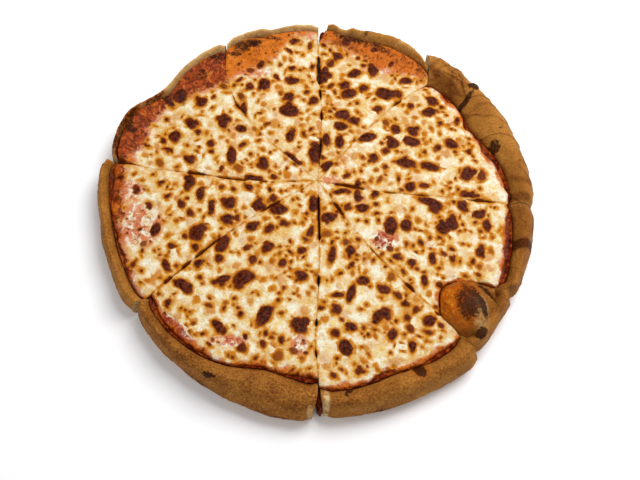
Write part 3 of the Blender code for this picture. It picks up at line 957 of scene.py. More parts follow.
        # Painted shade: bands on the hub-facing sides of the rims of slices 2 and 3
        toasted = patch_field(self.layout, CRUST_PATCHES[Mark.SHADE_BAND], x, y)
        toast = toast + self.shade_of_bands * toasted
        warp_x = x + 1.2 * self.grain.layered(x, y, 4.0, 2)
        warp_y = y + 1.2 * self.grain.layered(x + 77.0, y, 4.0, 2)
        char = patch_field(self.layout, CRUST_PATCHES[Mark.CHAR], warp_x, warp_y)
        glaze = patch_field(self.layout, CRUST_PATCHES[Mark.GLAZE], warp_x, warp_y)
        off_wall = smooth_step(*self.char_height, z + 5.0 * mottle)
        fried = np.full(x.shape, self.sizes.fried)
        torn = patch_field(self.layout, CRUST_PATCHES[Mark.TORN], x, y)
        return {"toast": np.clip(toast, 0.0, 1.0), "char": char * off_wall, "glaze": glaze * off_wall,
                "fried": fried, "crumb": torn, "cut_face_shade": np.zeros(x.shape)}

    def feet(self, edge: Array) -> Array:
        """Places on the table below a cut edge, none further out than the foot of the wall."""
        feet = at_height(edge, 0.0)
        last = feet[-1, :2]
        out = np.linalg.norm(feet[:, :2] - self.layout.hub, axis=1)
        feet[out >= np.linalg.norm(last - self.layout.hub), :2] = last
        return feet

    def build(self, finish: bpy.types.Material) -> bpy.types.Object:
        """Make the piece and put it in the place of its solid.

        Args:
            finish: The dough's material.

        Returns:
            The piece.
        """
        points, share, rim_place = self.skin()
        points = self.relief(points, share, rim_place)
        values = self.values(points, rim_place)
        index = np.arange(points.shape[0] * points.shape[1]).reshape(points.shape[:2])
        surface = Surface(points.reshape(-1, 3), grid_triangles(index),
                          {name: value.reshape(-1) for name, value in values.items()})
        on_rim = smooth_step(0.1, 0.3, rim_place)
        # Painted shade: below the rim the cut faces are darkened, as the narrow cuts lie in shade
        cut_face_shade = self.cut_face_shade_strength * (1.0 - on_rim)
        on_face = {"crumb": on_rim, "cut_face_shade": cut_face_shade, "char": 0.0, "glaze": 0.0}
        surface.close_grid(index, self.feet, self.face_rows, on_face)
        piece = surface.make(f"baked_dough_{self.number + 1}", finish, self.sharp_degrees)
        return self.place(piece, Layer.CRUST)


@dataclass(frozen=True)
class Sauce(SlicePart):
    """Baked tomato sauce of one slice: a thin sheet that shows between cheese and rim."""

    columns: int = 170
    band: float = 26.0
    band_rows: int = 34
    side_rows: int = 2
    inner_rows: tuple[float, ...] = (50.0, 90.0)
    edge_gap: float = 0.5
    edge_climb: float = 1.6
    drip_oil: float = 0.3
    sharp_degrees: float = 50.0
    grain: Grain = Grain(33)

    def feet(self, edge: Array) -> Array:
        """Places on the sauce's underside below an edge."""
        return at_height(edge, self.heights.sauce_bottom)

    def build(self, finish: bpy.types.Material) -> bpy.types.Object:
        """Make the piece: flat under the cheese, uneven in the outer band, closed below.

        The height in the band is the sauce's top plus up to 0.9 mm of smooth unevenness, and it
        climbs the rim at its outermost rows.

        Args:
            finish: The sauce's material.

        Returns:
            The piece.
        """
        share = np.linspace(0.0, 1.0, self.columns + 1)
        edge = Dough(self.layout, self.number).inside(share) - self.edge_gap
        inner = edge - self.band
        steps = np.linspace(0.0, 1.0, self.band_rows + 1)[:, None]
        under_cheese = [row * np.ones_like(share) for row in (self.layout.tip, *self.inner_rows)]
        distance = np.concatenate((under_cheese, inner + (edge - inner) * steps))
        x, y = self.layout.plan(self.number, share[None, :], distance, Layer.SAUCE)
        x[0], y[0] = self.layout.plan(self.number, 0.5, self.layout.tip, Layer.SAUCE)
        in_band = np.concatenate((np.zeros((len(under_cheese), 1)), steps))
        raised = 0.35 + 0.35 * self.grain.layered(x, y, 5.0, 2) + 0.2 * self.grain.at(x, y, 1.7)
        climb = self.edge_climb * smooth_step(0.9, 1.0, in_band)
        height = self.heights.sauce_top + (raised + climb) * smooth_step(0.0, 0.5, in_band)
        top = np.stack((x, y, height), -1)
        points = np.concatenate((top, self.feet(top[-1])[None]))
        index = np.arange(points.shape[0] * points.shape[1]).reshape(points.shape[:2])
        oil = 0.5 + 0.5 * self.grain.layered(points[..., 0] + 50.0, points[..., 1], 8.0, 2)
        surface = Surface(points.reshape(-1, 3), grid_triangles(index), {"oil": oil.reshape(-1)})
        surface.close_grid(index, self.feet, self.side_rows, {})
        for drip in DRIPS:
            if drip.number == self.number + 1:
                surface.add_grid(drip.points(self.layout), {"oil": self.drip_oil})
        piece = surface.make(f"tomato_sauce_{self.number + 1}", finish, self.sharp_degrees)
        return self.place(piece, Layer.SAUCE)


@dataclass(frozen=True)
class Blisters(SlicePart):
    """Browned blisters of one slice: the large ones listed, the small ones placed by a seeded rule."""

    seed: int = 400
    medium: float = 2.1
    small: float = 8.0
    faint: float = 1.8
    medium_size: tuple[float, float] = (4.5, 8.5)
    small_size: tuple[float, float] = (2.0, 4.2)
    faint_size: tuple[float, float] = (3.0, 8.0)
    most_lobes: int = 2
    lobe_reach: float = 0.45
    lobe_size: tuple[float, float] = (0.35, 0.55)
    lobe_stretch: tuple[float, float] = (1.0, 1.4)
    lobe_depth: tuple[float, float] = (0.6, 1.0)
    tries: int = 30
    edge_room: float = 3.0
    bend: float = 1.5
    bend_length: float = 8.0
    ripple: float = 0.5
    ripple_length: float = 4.2
    most_ripple: float = 1.8
    outside: float = -9.0
    reach: float = 8.0
    dome_power: float = 0.6
    least_height: float = 0.35
    height_per_radius: float = 0.15
    most_height: float = 1.3

    def places(self) -> Array:
        """Draw the blisters: those listed, the others clear of them, and their lobes.

        The counts are given for each 1000 square mm. Large and medium blisters get up to two lobes:
        smaller ellipses whose middles lie near their outline.

        Returns:
            One row for each ellipse: x, y, length, width, lean in radians, and depth of browning.
        """
        draw = np.random.default_rng(self.seed + self.number)
        rows = []
        for distance, share, length, width, lean in self.sizes.blisters:
            x, y = self.layout.plan(self.number, share, float(distance), Layer.CRUST)
            depth = draw.uniform(0.85, 1.0)
            rows.append((float(x), float(y), length, width, math.radians(lean), depth))
        lobes = []
        for row in rows:
            lobes += self.lobes(draw, row, int(draw.integers(0, self.most_lobes + 1)))
        edge = float(self.layout.reach(self.number, 0.5, along(self.sizes.cheese, 0.5)))
        edge = edge - self.edge_room
        area = 0.5 * edge ** 2 * float(self.layout.span(self.number, 100.0)) / 1000.0
        kinds = ((self.medium, self.medium_size, 1.0, (0.4, 1.0)),
                 (self.small, self.small_size, 0.5, (0.2, 0.85)),
                 (self.faint, self.faint_size, -1.0, (0.06, 0.24)))
        for density, (low, high), clear, (least, most) in kinds:
            placed = 0
            for _ in range(int(density * area) * self.tries):
                if placed >= density * area:
                    break
                share = draw.uniform(0.02, 0.98)
                distance = edge * math.sqrt(draw.uniform(0.004, 1.0))
                length = draw.uniform(low, high)
                width = length * draw.uniform(0.5, 1.0)
                x, y = self.layout.plan(self.number, share, distance, Layer.CRUST)
                gaps = [math.hypot(x - row[0], y - row[1]) - 0.45 * (length + row[2]) for row in rows]
                if min(gaps) < clear:
                    continue
                lean, depth = draw.uniform(0.0, math.pi), draw.uniform(least, most)
                row = (float(x), float(y), length, width, lean, depth)
                rows.append(row)
                if density == self.medium:
                    lobes += self.lobes(draw, row, int(draw.integers(0, self.most_lobes + 1)))
                placed += 1
        return np.array(rows + lobes)

    def lobes(self, draw: np.random.Generator, row: tuple[float, ...],
              count: int) -> list[tuple[float, ...]]:
        """Draw the lobes of one blister.

        Args:
            draw: Source of random numbers.
            row: The blister.
            count: How many lobes it gets.

        Returns:
            One row for each lobe.
        """
        x, y, length, width, lean, depth = row
        made = []
        for _ in range(count):
            turn = draw.uniform(0.0, 2.0 * math.pi)
            u = self.lobe_reach * length * math.cos(turn)
            v = self.lobe_reach * width * math.sin(turn)
            size = draw.uniform(*self.lobe_size) * 0.5 * (length + width)
            lobe_x = x + u * math.cos(lean) - v * math.sin(lean)
            lobe_y = y + u * math.sin(lean) + v * math.cos(lean)
            made.append((lobe_x, lobe_y, size * draw.uniform(*self.lobe_stretch), size,
                         draw.uniform(0.0, math.pi), depth * draw.uniform(*self.lobe_depth)))
        return made

    def field(self, x: Array, y: Array, warp: Grain) -> tuple[Array, Array, Array]:
        """Work out the blisters over the plan.

        A blister is an ellipse in a plane that is itself bent by smooth unevenness, so that its
        outline is lobed. Inside is the distance in mm from the outline, positive inwards.

        Args:
            x: Plan positions, in mm.
            y: Plan positions, in mm.
            warp: Unevenness that bends the plane.

        Returns:
            Distance inside the nearest outline, its depth of browning, and its raised height.
        """
        bent_x = x + self.bend * warp.layered(x, y, self.bend_length, 2)
        bent_y = y + self.bend * warp.layered(x + 133.0, y, self.bend_length, 2)
        ripple = self.ripple * warp.layered(x + 41.0, y + 67.0, self.ripple_length, 2)
        inside = np.full(x.shape, self.outside)
        depth = np.zeros(x.shape)
        raised = np.zeros(x.shape)
        for middle_x, middle_y, length, width, lean, browning in self.places():
            near = np.hypot(x - middle_x, y - middle_y) < 0.5 * length + self.reach
            dx, dy = bent_x[near] - middle_x, bent_y[near] - middle_y
            u = (dx * math.cos(lean) + dy * math.sin(lean)) * 2.0 / length
            v = (dy * math.cos(lean) - dx * math.sin(lean)) * 2.0 / width
            out = np.hypot(u, v)
            mean_radius = 0.5 * math.sqrt(length * width)
            own = (1.0 - out) * mean_radius + ripple[near] * min(mean_radius / 3.5, self.most_ripple)
            closer = own > inside[near]
            inside[near] = np.where(closer, own, inside[near])
            depth[near] = np.where(closer, browning, depth[near])
            dome = np.clip(own / mean_radius, 0.0, 1.0) ** self.dome_power
            height = min(self.least_height + self.height_per_radius * mean_radius, self.most_height)
            raised[near] = np.maximum(raised[near], dome * height)
        return inside, depth, raised


@dataclass
class Sheet:
    """Points of the cheese of one slice: places in the slice and in plan, and distances in mm."""

    share: Array
    distance: Array
    x: Array
    y: Array
    to_edge: Array
    to_cut: Array
    parted: Array


@dataclass(frozen=True)
class Cheese(SlicePart):
    """Melted mozzarella of one slice: a sheet of even triangles with blisters and soft edges."""

    rows: int = 250
    face_rows: int = 4
    edge_gap: float = 0.8
    edge_lobes: float = 5.0
    edge_lobe_length: float = 17.0
    tip: float = 0.4
    taper: float = 9.0
    wave: float = 0.35
    wave_length: float = 12.0
    climb_width: float = 11.0
    climb_at_edge: float = 1.6
    cut_reach: float = 40.0
    cut_round: float = 1.5
    closed_depth: float = 0.08
    open_depth: float = 1.3
    edge_round: float = 1.8
    edge_depth: float = 1.3
    # Painted shade: how dark the line along a gaping cut is
    gap_shade_depth: float = 0.7
    swell: float = 0.45
    swell_length: float = 14.0
    ripple: float = 0.22
    ripple_length: float = 5.0
    pimple: float = 0.09
    pimple_length: float = 2.0
    sunk_where_bare: float = 0.5
    ring_depth: float = 0.18
    crisp_height: float = 1.1
    sharp_degrees: float = 60.0
    grain: Grain = Grain(8)
    warp: Grain = Grain(13)

    def sheet(self) -> Sheet:
        """Lay out the sheet: row i has i + 1 points, so that the triangles stay alike.

        Returns:
            Its points.
        """
        row = np.repeat(np.arange(self.rows + 1), np.arange(1, self.rows + 2))
        in_row = np.arange(len(row)) - row * (row + 1) // 2
        share = np.where(row > 0, in_row / np.maximum(row, 1), 0.5)
        edge = self.layout.reach(self.number, share, along(self.sizes.cheese, share))
        rim_length = share * self.layout.span(self.number, 150.0) * 150.0 + 300.0 * self.number
        lobes = self.grain.layered(rim_length, 0.0 * rim_length, self.edge_lobe_length, 3)
        edge = edge + 0.4 + self.edge_lobes * lobes
        edge = np.minimum(edge, Dough(self.layout, self.number).inside(share) - self.edge_gap)
        distance = self.tip + (edge - self.tip) * row / self.rows
        x, y = self.layout.plan(self.number, share, distance, Layer.CHEESE)
        to_cut = np.minimum(self.layout.to_cut(self.number, share, distance), self.cut_reach)
        before, after = (self.layout.parted(cut, distance) for cut in (self.number, self.number + 1))
        parted = np.where(share < 0.5, before, after)
        return Sheet(share, distance, x, y, edge - distance, to_cut, parted)

    def triangles(self) -> Array:
        """Join the rows of the sheet: each point to the two below it, and these to the next."""
        starts = np.arange(self.rows + 2) * (np.arange(self.rows + 2) + 1) // 2
        row = np.repeat(np.arange(self.rows), np.arange(1, self.rows + 1))
        column = np.arange(len(row)) - starts[row]
        inner, outer = starts[row] + column, starts[row + 1] + column
        pointing_in = np.stack((inner, outer, outer + 1), -1)
        has_next = column < row
        pointing_out = np.stack((inner, outer + 1, inner + 1), -1)[has_next]
        return np.concatenate((pointing_in, pointing_out))

    def outline(self) -> Array:
        """Indices of the sheet's outline: down its first side, along the edge and back up."""
        count = np.arange(self.rows + 1)
        starts = count * (count + 1) // 2
        return np.concatenate((starts, starts[-1] + count[1:], (starts + count)[-2::-1]))

    def seared(self, at: Sheet) -> Array:
        """Work out how far the cheese is toasted.

        A slice with a toasted border is toasted outside the radius where it stops being pale. The
        others are a little toasted along the edge.

        Args:
            at: Points of the sheet.

        Returns:
            Values from 0 to 1.
        """
        if not self.sizes.pale:
            ragged = 5.0 * self.grain.layered(at.x, at.y + 11.0, 9.0, 3)
            return 0.8 * smooth_step(5.0, 0.5, at.to_edge + ragged)
        pale = self.layout.reach(self.number, at.share, along(self.sizes.pale, at.share))
        ragged = 5.0 * self.grain.layered(at.x, at.y + 11.0, 9.0, 4)
        return smooth_step(-9.0, 7.0, at.distance - pale + ragged)

    def values(self, at: Sheet) -> tuple[dict[str, Array], Array]:
        """Work out what the finish reads, and the blisters' domes.

        Beside the cuts the cheese lets some sauce through, and where it gapes painted shade darkens it
        along the cut.

        Args:
            at: Points of the sheet.

        Returns:
            Values under the names that the finish reads, and the height of the domes in mm.
        """
        x, y = at.x, at.y
        inside, depth, raised = Blisters(self.layout, self.number).field(x, y, self.warp)
        bent_x = x + 2.0 * self.warp.layered(x + 31.0, y, 6.0, 3)
        bent_y = y + 2.0 * self.warp.layered(x, y + 59.0, 6.0, 3)
        char = patch_field(self.layout, CHEESE_PATCHES[Mark.CHAR], bent_x, bent_y)
        white = patch_field(self.layout, CHEESE_PATCHES[Mark.WHITE], x, y)
        bared = at.to_cut + 3.0 * self.grain.layered(x, y + 83.0, 11.0, 2)
        see = np.maximum(patch_field(self.layout, CHEESE_PATCHES[Mark.SAUCE_SHOWS], x, y),
                         0.35 * smooth_step(6.0, 1.0, bared))
        # Painted shade: where the cheese gapes at a cut, a dark brown line is laid along it as the edge
        # of a blister
        browned = 2.1 * at.parted - at.to_cut - 1.4 + 1.4 * self.grain.layered(x + 7.0, y, 6.0, 2)
        gap_shaded = browned > inside
        inside = np.where(gap_shaded, browned, inside)
        depth = np.where(gap_shaded & (browned > -2.5), np.maximum(depth, self.gap_shade_depth), depth)
        values = {"blister": inside, "depth": depth, "see": see, "white": white,
                  "sear": self.seared(at), "char": char, "red": np.full(x.shape, self.sizes.reddened)}
        return values, raised

    def height(self, at: Sheet, values: dict[str, Array], raised: Array) -> Array:
        """Work out the height above the table.

        It is the solid's own form: level, thinner towards its edge or climbing the rim. To it are
        added smooth unevenness of three lengths, the blisters' domes, a shallow ring round each,
        crisp bumps where it is seared, and a quarter round down to the cuts.

        Args:
            at: Points of the sheet.
            values: What the finish reads.
            raised: Height of the blisters' domes.

        Returns:
            The heights in mm.
        """
        x, y, depth = at.x, at.y, values["depth"]
        calm = smooth_step(0.0, 3.0, at.to_edge)
        part = np.clip(at.to_edge / self.taper, 0.0, 1.0) ** 0.5
        edge_top = self.heights.cheese_edge + self.climb_at_edge * self.sizes.climb
        height = edge_top + (self.heights.cheese_top - edge_top) * part
        height = height + self.sizes.climb * np.exp(-np.square(at.to_edge / self.climb_width)) * part
        height = height + self.wave * np.sin(x / self.wave_length + 1.0) * np.sin(y / self.wave_length)
        height = height + self.swell * self.grain.at(x, y, self.swell_length) * calm
        height = height + self.ripple * self.grain.at(x, y, self.ripple_length)
        height = height + self.pimple * self.grain.at(x + 5.0, y, self.pimple_length)
        height = height - self.sunk_where_bare * np.minimum(values["see"], 1.0) * calm
        ring = np.exp(-np.square((values["blister"] + 0.9) / 0.7)) * depth
        height = height + raised * calm * (0.55 + 0.45 * depth) - self.ring_depth * ring * calm
        crisp = np.abs(self.grain.layered(x, y, 4.2, 2))
        height = height + values["sear"] * calm * (self.crisp_height * crisp - 0.1)
        height = height + patch_field(self.layout, CHEESE_PATCHES[Mark.BUMP], x, y)
        cut_depth = self.closed_depth + self.open_depth * at.parted
        height = height - cut_depth * rounded(at.to_cut / self.cut_round)
        return height - self.edge_depth * rounded(at.to_edge / self.edge_round)

    def build(self, finish: bpy.types.Material) -> bpy.types.Object:
        """Make the piece with its relief and with the values that its finish reads.

        Args:
            finish: The cheese's material.

        Returns:
            The piece.
        """
        at = self.sheet()
        values, raised = self.values(at)
        points = np.stack((at.x, at.y, self.height(at, values, raised)), -1)
        surface = Surface(points, self.triangles(), values)
        outline = self.outline()
        feet = at_height(points[outline], self.heights.cheese_bottom)
        # Painted shade: the sheet's upright walls, at the cuts and along its edge, take the toasted
        # border's dark red colour
        on_face = {"blister": Blisters.outside, "char": 0.0, "sear": 0.9, "red": 0.9}
        surface.floor_loop = surface.add_strip(outline, feet, self.face_rows, on_face)[:-1]
        piece = surface.make(f"melted_cheese_{self.number + 1}", finish, self.sharp_degrees)
        return self.place(piece, Layer.CHEESE)


def add(tree: bpy.types.NodeTree, kind: str, links: dict | None = None, inputs: dict | None = None,
        stops: tuple = (), **settings: object) -> bpy.types.Node:
    """Add one node with its settings and links.

    Args:
        tree: The material's nodes.
        kind: Type of the node.
        links: Socket that feeds each named or numbered input.
        inputs: Value of each named or numbered input.
        stops: Place and colour of each stop of a colour ramp.
        settings: Properties of the node.

    Returns:
        The node.
    """
    made = tree.nodes.new(kind)
    for name, value in settings.items():
        setattr(made, name, value)
    for name, value in (inputs or {}).items():
        made.inputs[name].default_value = value
    for name, socket in (links or {}).items():
        tree.links.new(socket, made.inputs[name])
    for number, (place, colour) in enumerate(stops):
        elements = made.color_ramp.elements
        element = elements[number] if number < len(elements) else elements.new(place)
        element.position = place
        element.color = linear(colour)
    return made


@dataclass(frozen=True)
class Pattern:
    """Short ways to add the nodes that one material's colours and relief are worked out with."""

    tree: bpy.types.NodeTree
    place: Socket

    def value(self, name: str) -> Socket:
        """Read a value that the mesh carries on its points."""
        return add(self.tree, "ShaderNodeAttribute", attribute_name=name).outputs["Fac"]

    def noise(self, length: float, roughness: float = 0.55, bend: float = 0.0,
              detail: float = 3.0) -> Socket:
        """Add unevenness with values around 0.5.

        Args:
            length: Distance of its features in mm.
            roughness: Share of the finer layers.
            bend: How much its features curl.
            detail: Number of finer layers.

        Returns:
            The noise's socket.
        """
        return add(self.tree, "ShaderNodeTexNoise", {"Vector": self.place},
                   {"Scale": 1.0 / (length * MM), "Detail": detail, "Roughness": roughness,
                    "Distortion": bend}).outputs["Fac"]

    def ramp(self, source: Socket, low: float, high: float, top: float = 1.0) -> Socket:
        """Smooth step of a socket, from 0 at low to top at high."""
        return add(self.tree, "ShaderNodeMapRange", {"Value": source},
                   {"From Min": low, "From Max": high, "To Max": top},
                   interpolation_type="SMOOTHSTEP").outputs["Result"]

    def work_out(self, operation: str, a: Socket | float, b: Socket | float) -> Socket:
        """Combine two sockets or numbers.

        Args:
            operation: Name of the operation, as the maths node knows it.
            a: First socket or number.
            b: Second socket or number.

        Returns:
            The result's socket.
        """
        pairs = {0: a, 1: b}
        links = {index: item for index, item in pairs.items() if isinstance(item, Socket)}
        inputs = {index: item for index, item in pairs.items() if index not in links}
        return add(self.tree, "ShaderNodeMath", links, inputs, operation=operation).outputs[0]

    def times(self, a: Socket | float, b: Socket | float) -> Socket:
        """Product of two sockets or numbers."""
        return self.work_out("MULTIPLY", a, b)

    def plus(self, a: Socket | float, b: Socket | float) -> Socket:
        """Sum of two sockets or numbers."""
        return self.work_out("ADD", a, b)

    def swing(self, source: Socket, strength: float) -> Socket:
        """Unevenness turned into values around 0 and made stronger or weaker."""
        return self.times(self.work_out("SUBTRACT", source, 0.5), strength)

    def colour(self, code: str) -> Socket:
        """One plain colour."""
        made = add(self.tree, "ShaderNodeRGB")
        made.outputs[0].default_value = linear(code)
        return made.outputs[0]

    def blend(self, base: Socket, over: Socket | str, factor: Socket) -> Socket:
        """Lay a hex colour or a socket over a base by a factor."""
        top = self.colour(over) if isinstance(over, str) else over
        mix = add(self.tree, "ShaderNodeMix", {0: factor, 6: base, 7: top}, data_type="RGBA")
        return mix.outputs[2]

    def burn(self, base: Socket, colour: str, broken: Socket,
             reach: tuple[float, float, float]) -> tuple[Socket, Socket]:
        """Lay char over a base where the mesh carries it.

        Args:
            base: Colour below.
            colour: Colour of the char.
            broken: Unevenness that breaks its border up.
            reach: Char where it starts and where it is full, and how far it covers there.

        Returns:
            The colour, and how far it is burnt.
        """
        char = self.value("char")
        burnt = self.times(self.ramp(self.plus(char, broken), *reach), self.ramp(char, 0.0, 0.3))
        return self.blend(base, colour, burnt), burnt


@dataclass(frozen=True)
class Finish:
    """What the finishes share: a Principled shader fed by patterns in the object's own space."""

    name: str
    roughness: float
    specular: float
    subsurface: float = 0.0
    light_reach: float = 2.0
    reach_of_colours: tuple[float, float, float] = (1.0, 0.6, 0.3)
    relief_height: float = 0.9

    def start(self) -> tuple[bpy.types.Material, bpy.types.Node, Pattern]:
        """Make the material with its shader set to its real values.

        Returns:
            The material, its shader and the pattern that feeds it.
        """
        material = bpy.data.materials.new(self.name)
        material.use_nodes = True
        shader = material.node_tree.nodes["Principled BSDF"]
        shader.inputs["Roughness"].default_value = self.roughness
        shader.inputs["Specular IOR Level"].default_value = self.specular
        shader.inputs["Subsurface Weight"].default_value = self.subsurface
        shader.inputs["Subsurface Scale"].default_value = self.light_reach * MM
        shader.inputs["Subsurface Radius"].default_value = self.reach_of_colours
        place = add(material.node_tree, "ShaderNodeTexCoord").outputs["Object"]
        return material, shader, Pattern(material.node_tree, place)

    def connect(self, pattern: Pattern, shader: bpy.types.Node, colour: Socket,
                gloss: Socket, bumps: Socket, strength: float) -> None:
        """Feed the shader with a colour, a roughness and the height of fine relief.

        Args:
            pattern: The material's pattern.
            shader: Its shader.
            colour: Base colour.
            gloss: Roughness.
            bumps: Height of the fine relief.
            strength: How strong the relief looks.
        """
        bump = add(pattern.tree, "ShaderNodeBump", {"Height": bumps},
                   {"Strength": strength, "Distance": self.relief_height * MM})
        pattern.tree.links.new(colour, shader.inputs["Base Color"])
        pattern.tree.links.new(gloss, shader.inputs["Roughness"])
        pattern.tree.links.new(bump.outputs["Normal"], shader.inputs["Normal"])


@dataclass(frozen=True)
class MeltedCheese(Finish):
    """Low-moisture mozzarella baked until it blisters.

    Its own fat makes it softly glossy. The proteins brown where bubbles stood up, from gold over
    amber at the foot to a dark red-brown, oily top.
    """

    cream: str = "#ddc584"
    pale: str = "#e4e0c8"
    gold: str = "#cf982c"
    peach: str = "#e0b791"
    rosy: str = "#c4683f"
    sauce_red: str = "#8f2409"
    amber: str = "#bb6f0d"
    russet: str = "#8a460b"
    red_brown: str = "#5e2105"
    dark: str = "#280600"
    seared: str = "#cf7012"
    seared_red: str = "#a3400f"
    seared_dark: str = "#4a1602"
    strand: str = "#dd9a42"
    burnt: str = "#220d05"

    def ground(self, pattern: Pattern, noise: dict[float, Socket]) -> Socket:
        """Colour of the cheese between its blisters: cream, clouded with gold, peach and rose.

        Args:
            pattern: The material's pattern.
            noise: Unevenness by the distance of its features in mm.

        Returns:
            The colour.
        """
        clouds = ((self.pale, 6.0, 0.34, 0.54, 1.0), (self.peach, 18.0, 0.46, 0.34, 0.5),
                  (self.gold, 18.0, 0.54, 0.66, 0.4), (self.gold, 9.0, 0.47, 0.64, 0.58),
                  (self.gold, 2.4, 0.52, 0.68, 0.55), (self.pale, 1.1, 0.54, 0.68, 0.75))
        base = pattern.colour(self.cream)
        for colour, length, low, high, top in clouds:
            base = pattern.blend(base, colour, pattern.ramp(noise[length], low, high, top))
        base = pattern.blend(base, self.pale, pattern.value("white"))
        see = pattern.value("see")
        near_toast = pattern.plus(pattern.value("sear"), pattern.swing(noise[4.0], 0.8))
        base = pattern.blend(base, self.rosy, pattern.ramp(near_toast, 0.0, 0.4, 0.75))
        thin = pattern.times(see, pattern.ramp(noise[6.0], 0.62, 0.40))
        base = pattern.blend(base, self.rosy, pattern.ramp(thin, 0.05, 0.9, 0.85))
        flecks = pattern.ramp(pattern.times(see, noise[2.4]), 0.48, 0.85, 0.9)
        return pattern.blend(base, self.sauce_red, flecks)

    def toasted(self, pattern: Pattern, noise: dict[float, Socket]) -> Socket:
        """Colour of the toasted border: orange with red, dark and lighter clouds and dark specks.

        Args:
            pattern: The material's pattern.
            noise: Unevenness by the distance of its features in mm.

        Returns:
            The colour.
        """
        clouds = pattern.noise(10.0, 0.68, 0.8, 6.0)
        spots = pattern.noise(5.0, 0.7, 1.2, 6.0)
        redness = pattern.times(pattern.value("red"), pattern.ramp(clouds, 0.32, 0.48))
        base = pattern.blend(pattern.colour(self.seared), self.seared_red, redness)
        base = pattern.blend(base, self.strand, pattern.ramp(spots, 0.44, 0.28, 0.7))
        darkness = pattern.plus(pattern.times(pattern.value("red"), 0.09), spots)
        base = pattern.blend(base, self.seared_dark, pattern.ramp(darkness, 0.52, 0.68, 0.9))
        return pattern.blend(base, self.seared_dark, pattern.ramp(noise[1.1], 0.56, 0.70, 0.6))

    def browned(self, pattern: Pattern, noise: dict[float, Socket], base: Socket,
                covered: Socket) -> tuple[Socket, Socket]:
        """Lay the rings of the blisters over the cheese, from the golden stain to the dark top.

        A ring starts and is full at a distance in mm inside the outline, and shows on blisters whose
        depth of browning is between two more values. Along cuts where the cheese gapes, the same rings
        lay painted shade.

        Args:
            pattern: The material's pattern.
            noise: Unevenness by the distance of its features in mm.
            base: Colour of the cheese.
            covered: Where stains show: 1 on plain cheese, 0 on bared sauce and on the toasted border.

        Returns:
            The colour, and where it is red-brown.
        """
        depth = pattern.value("depth")
        rim = pattern.plus(pattern.value("blister"), pattern.swing(noise[2.4], 1.3))
        spread = pattern.plus(rim, pattern.swing(noise[4.0], 6.0))
        patchy = pattern.times(covered, pattern.ramp(noise[6.0], 0.34, 0.54))
        rings = ((self.gold, spread, (-4.6, -0.6), (0.03, 0.35), patchy),
                 (self.amber, spread, (-2.4, 0.0), (0.08, 0.3), covered),
                 (self.russet, rim, (-0.5, 0.7), (0.2, 0.5), 1.0),
                 (self.red_brown, rim, (0.0, 1.3), (0.3, 0.6), 1.0),
                 (self.dark, rim, (0.6, 2.4, 0.95), (0.45, 0.85), pattern.ramp(noise[2.4], 0.44, 0.58)))
        shown = {}
        for colour, distance, reach, browning, where in rings:
            ring = pattern.times(pattern.ramp(distance, *reach), pattern.ramp(depth, *browning))
            shown[colour] = pattern.times(ring, where)
            base = pattern.blend(base, colour, shown[colour])
        return base, shown[self.red_brown]

    def material(self) -> bpy.types.Material:
        """Make the material.

        Returns:
            The material, which reads the values blister, depth, see, white, sear, char and red.
        """
        material, shader, pattern = self.start()
        noise = {length: pattern.noise(length, bend=0.4) for length in (18.0, 9.0, 6.0, 4.0, 2.4, 1.1)}
        ragged = pattern.plus(pattern.swing(noise[2.4], 1.1), pattern.swing(noise[6.0], 0.8))
        in_border = pattern.ramp(pattern.plus(pattern.value("sear"), ragged), 0.3, 0.75, 0.97)
        covered = pattern.times(pattern.ramp(pattern.value("see"), 1.1, 0.3),
                                pattern.ramp(in_border, 0.8, 0.2))
        base = pattern.blend(self.ground(pattern, noise), self.toasted(pattern, noise), in_border)
        base, core = self.browned(pattern, noise, base, covered)
        broken = pattern.plus(pattern.swing(noise[4.0], 1.6), pattern.swing(noise[1.1], 1.8))
        base, burnt = pattern.burn(base, self.burnt, broken, (0.25, 1.15, 0.92))
        gloss = pattern.work_out("SUBTRACT", self.roughness, pattern.times(core, 0.17))
        gloss = pattern.plus(gloss, pattern.times(burnt, 0.3))
        gloss = pattern.plus(gloss, pattern.swing(noise[2.4], 0.25))
        bumps = pattern.plus(pattern.times(noise[1.1], 0.5), noise[2.4])
        self.connect(pattern, shader, base, gloss, bumps, 1.0)
        return material


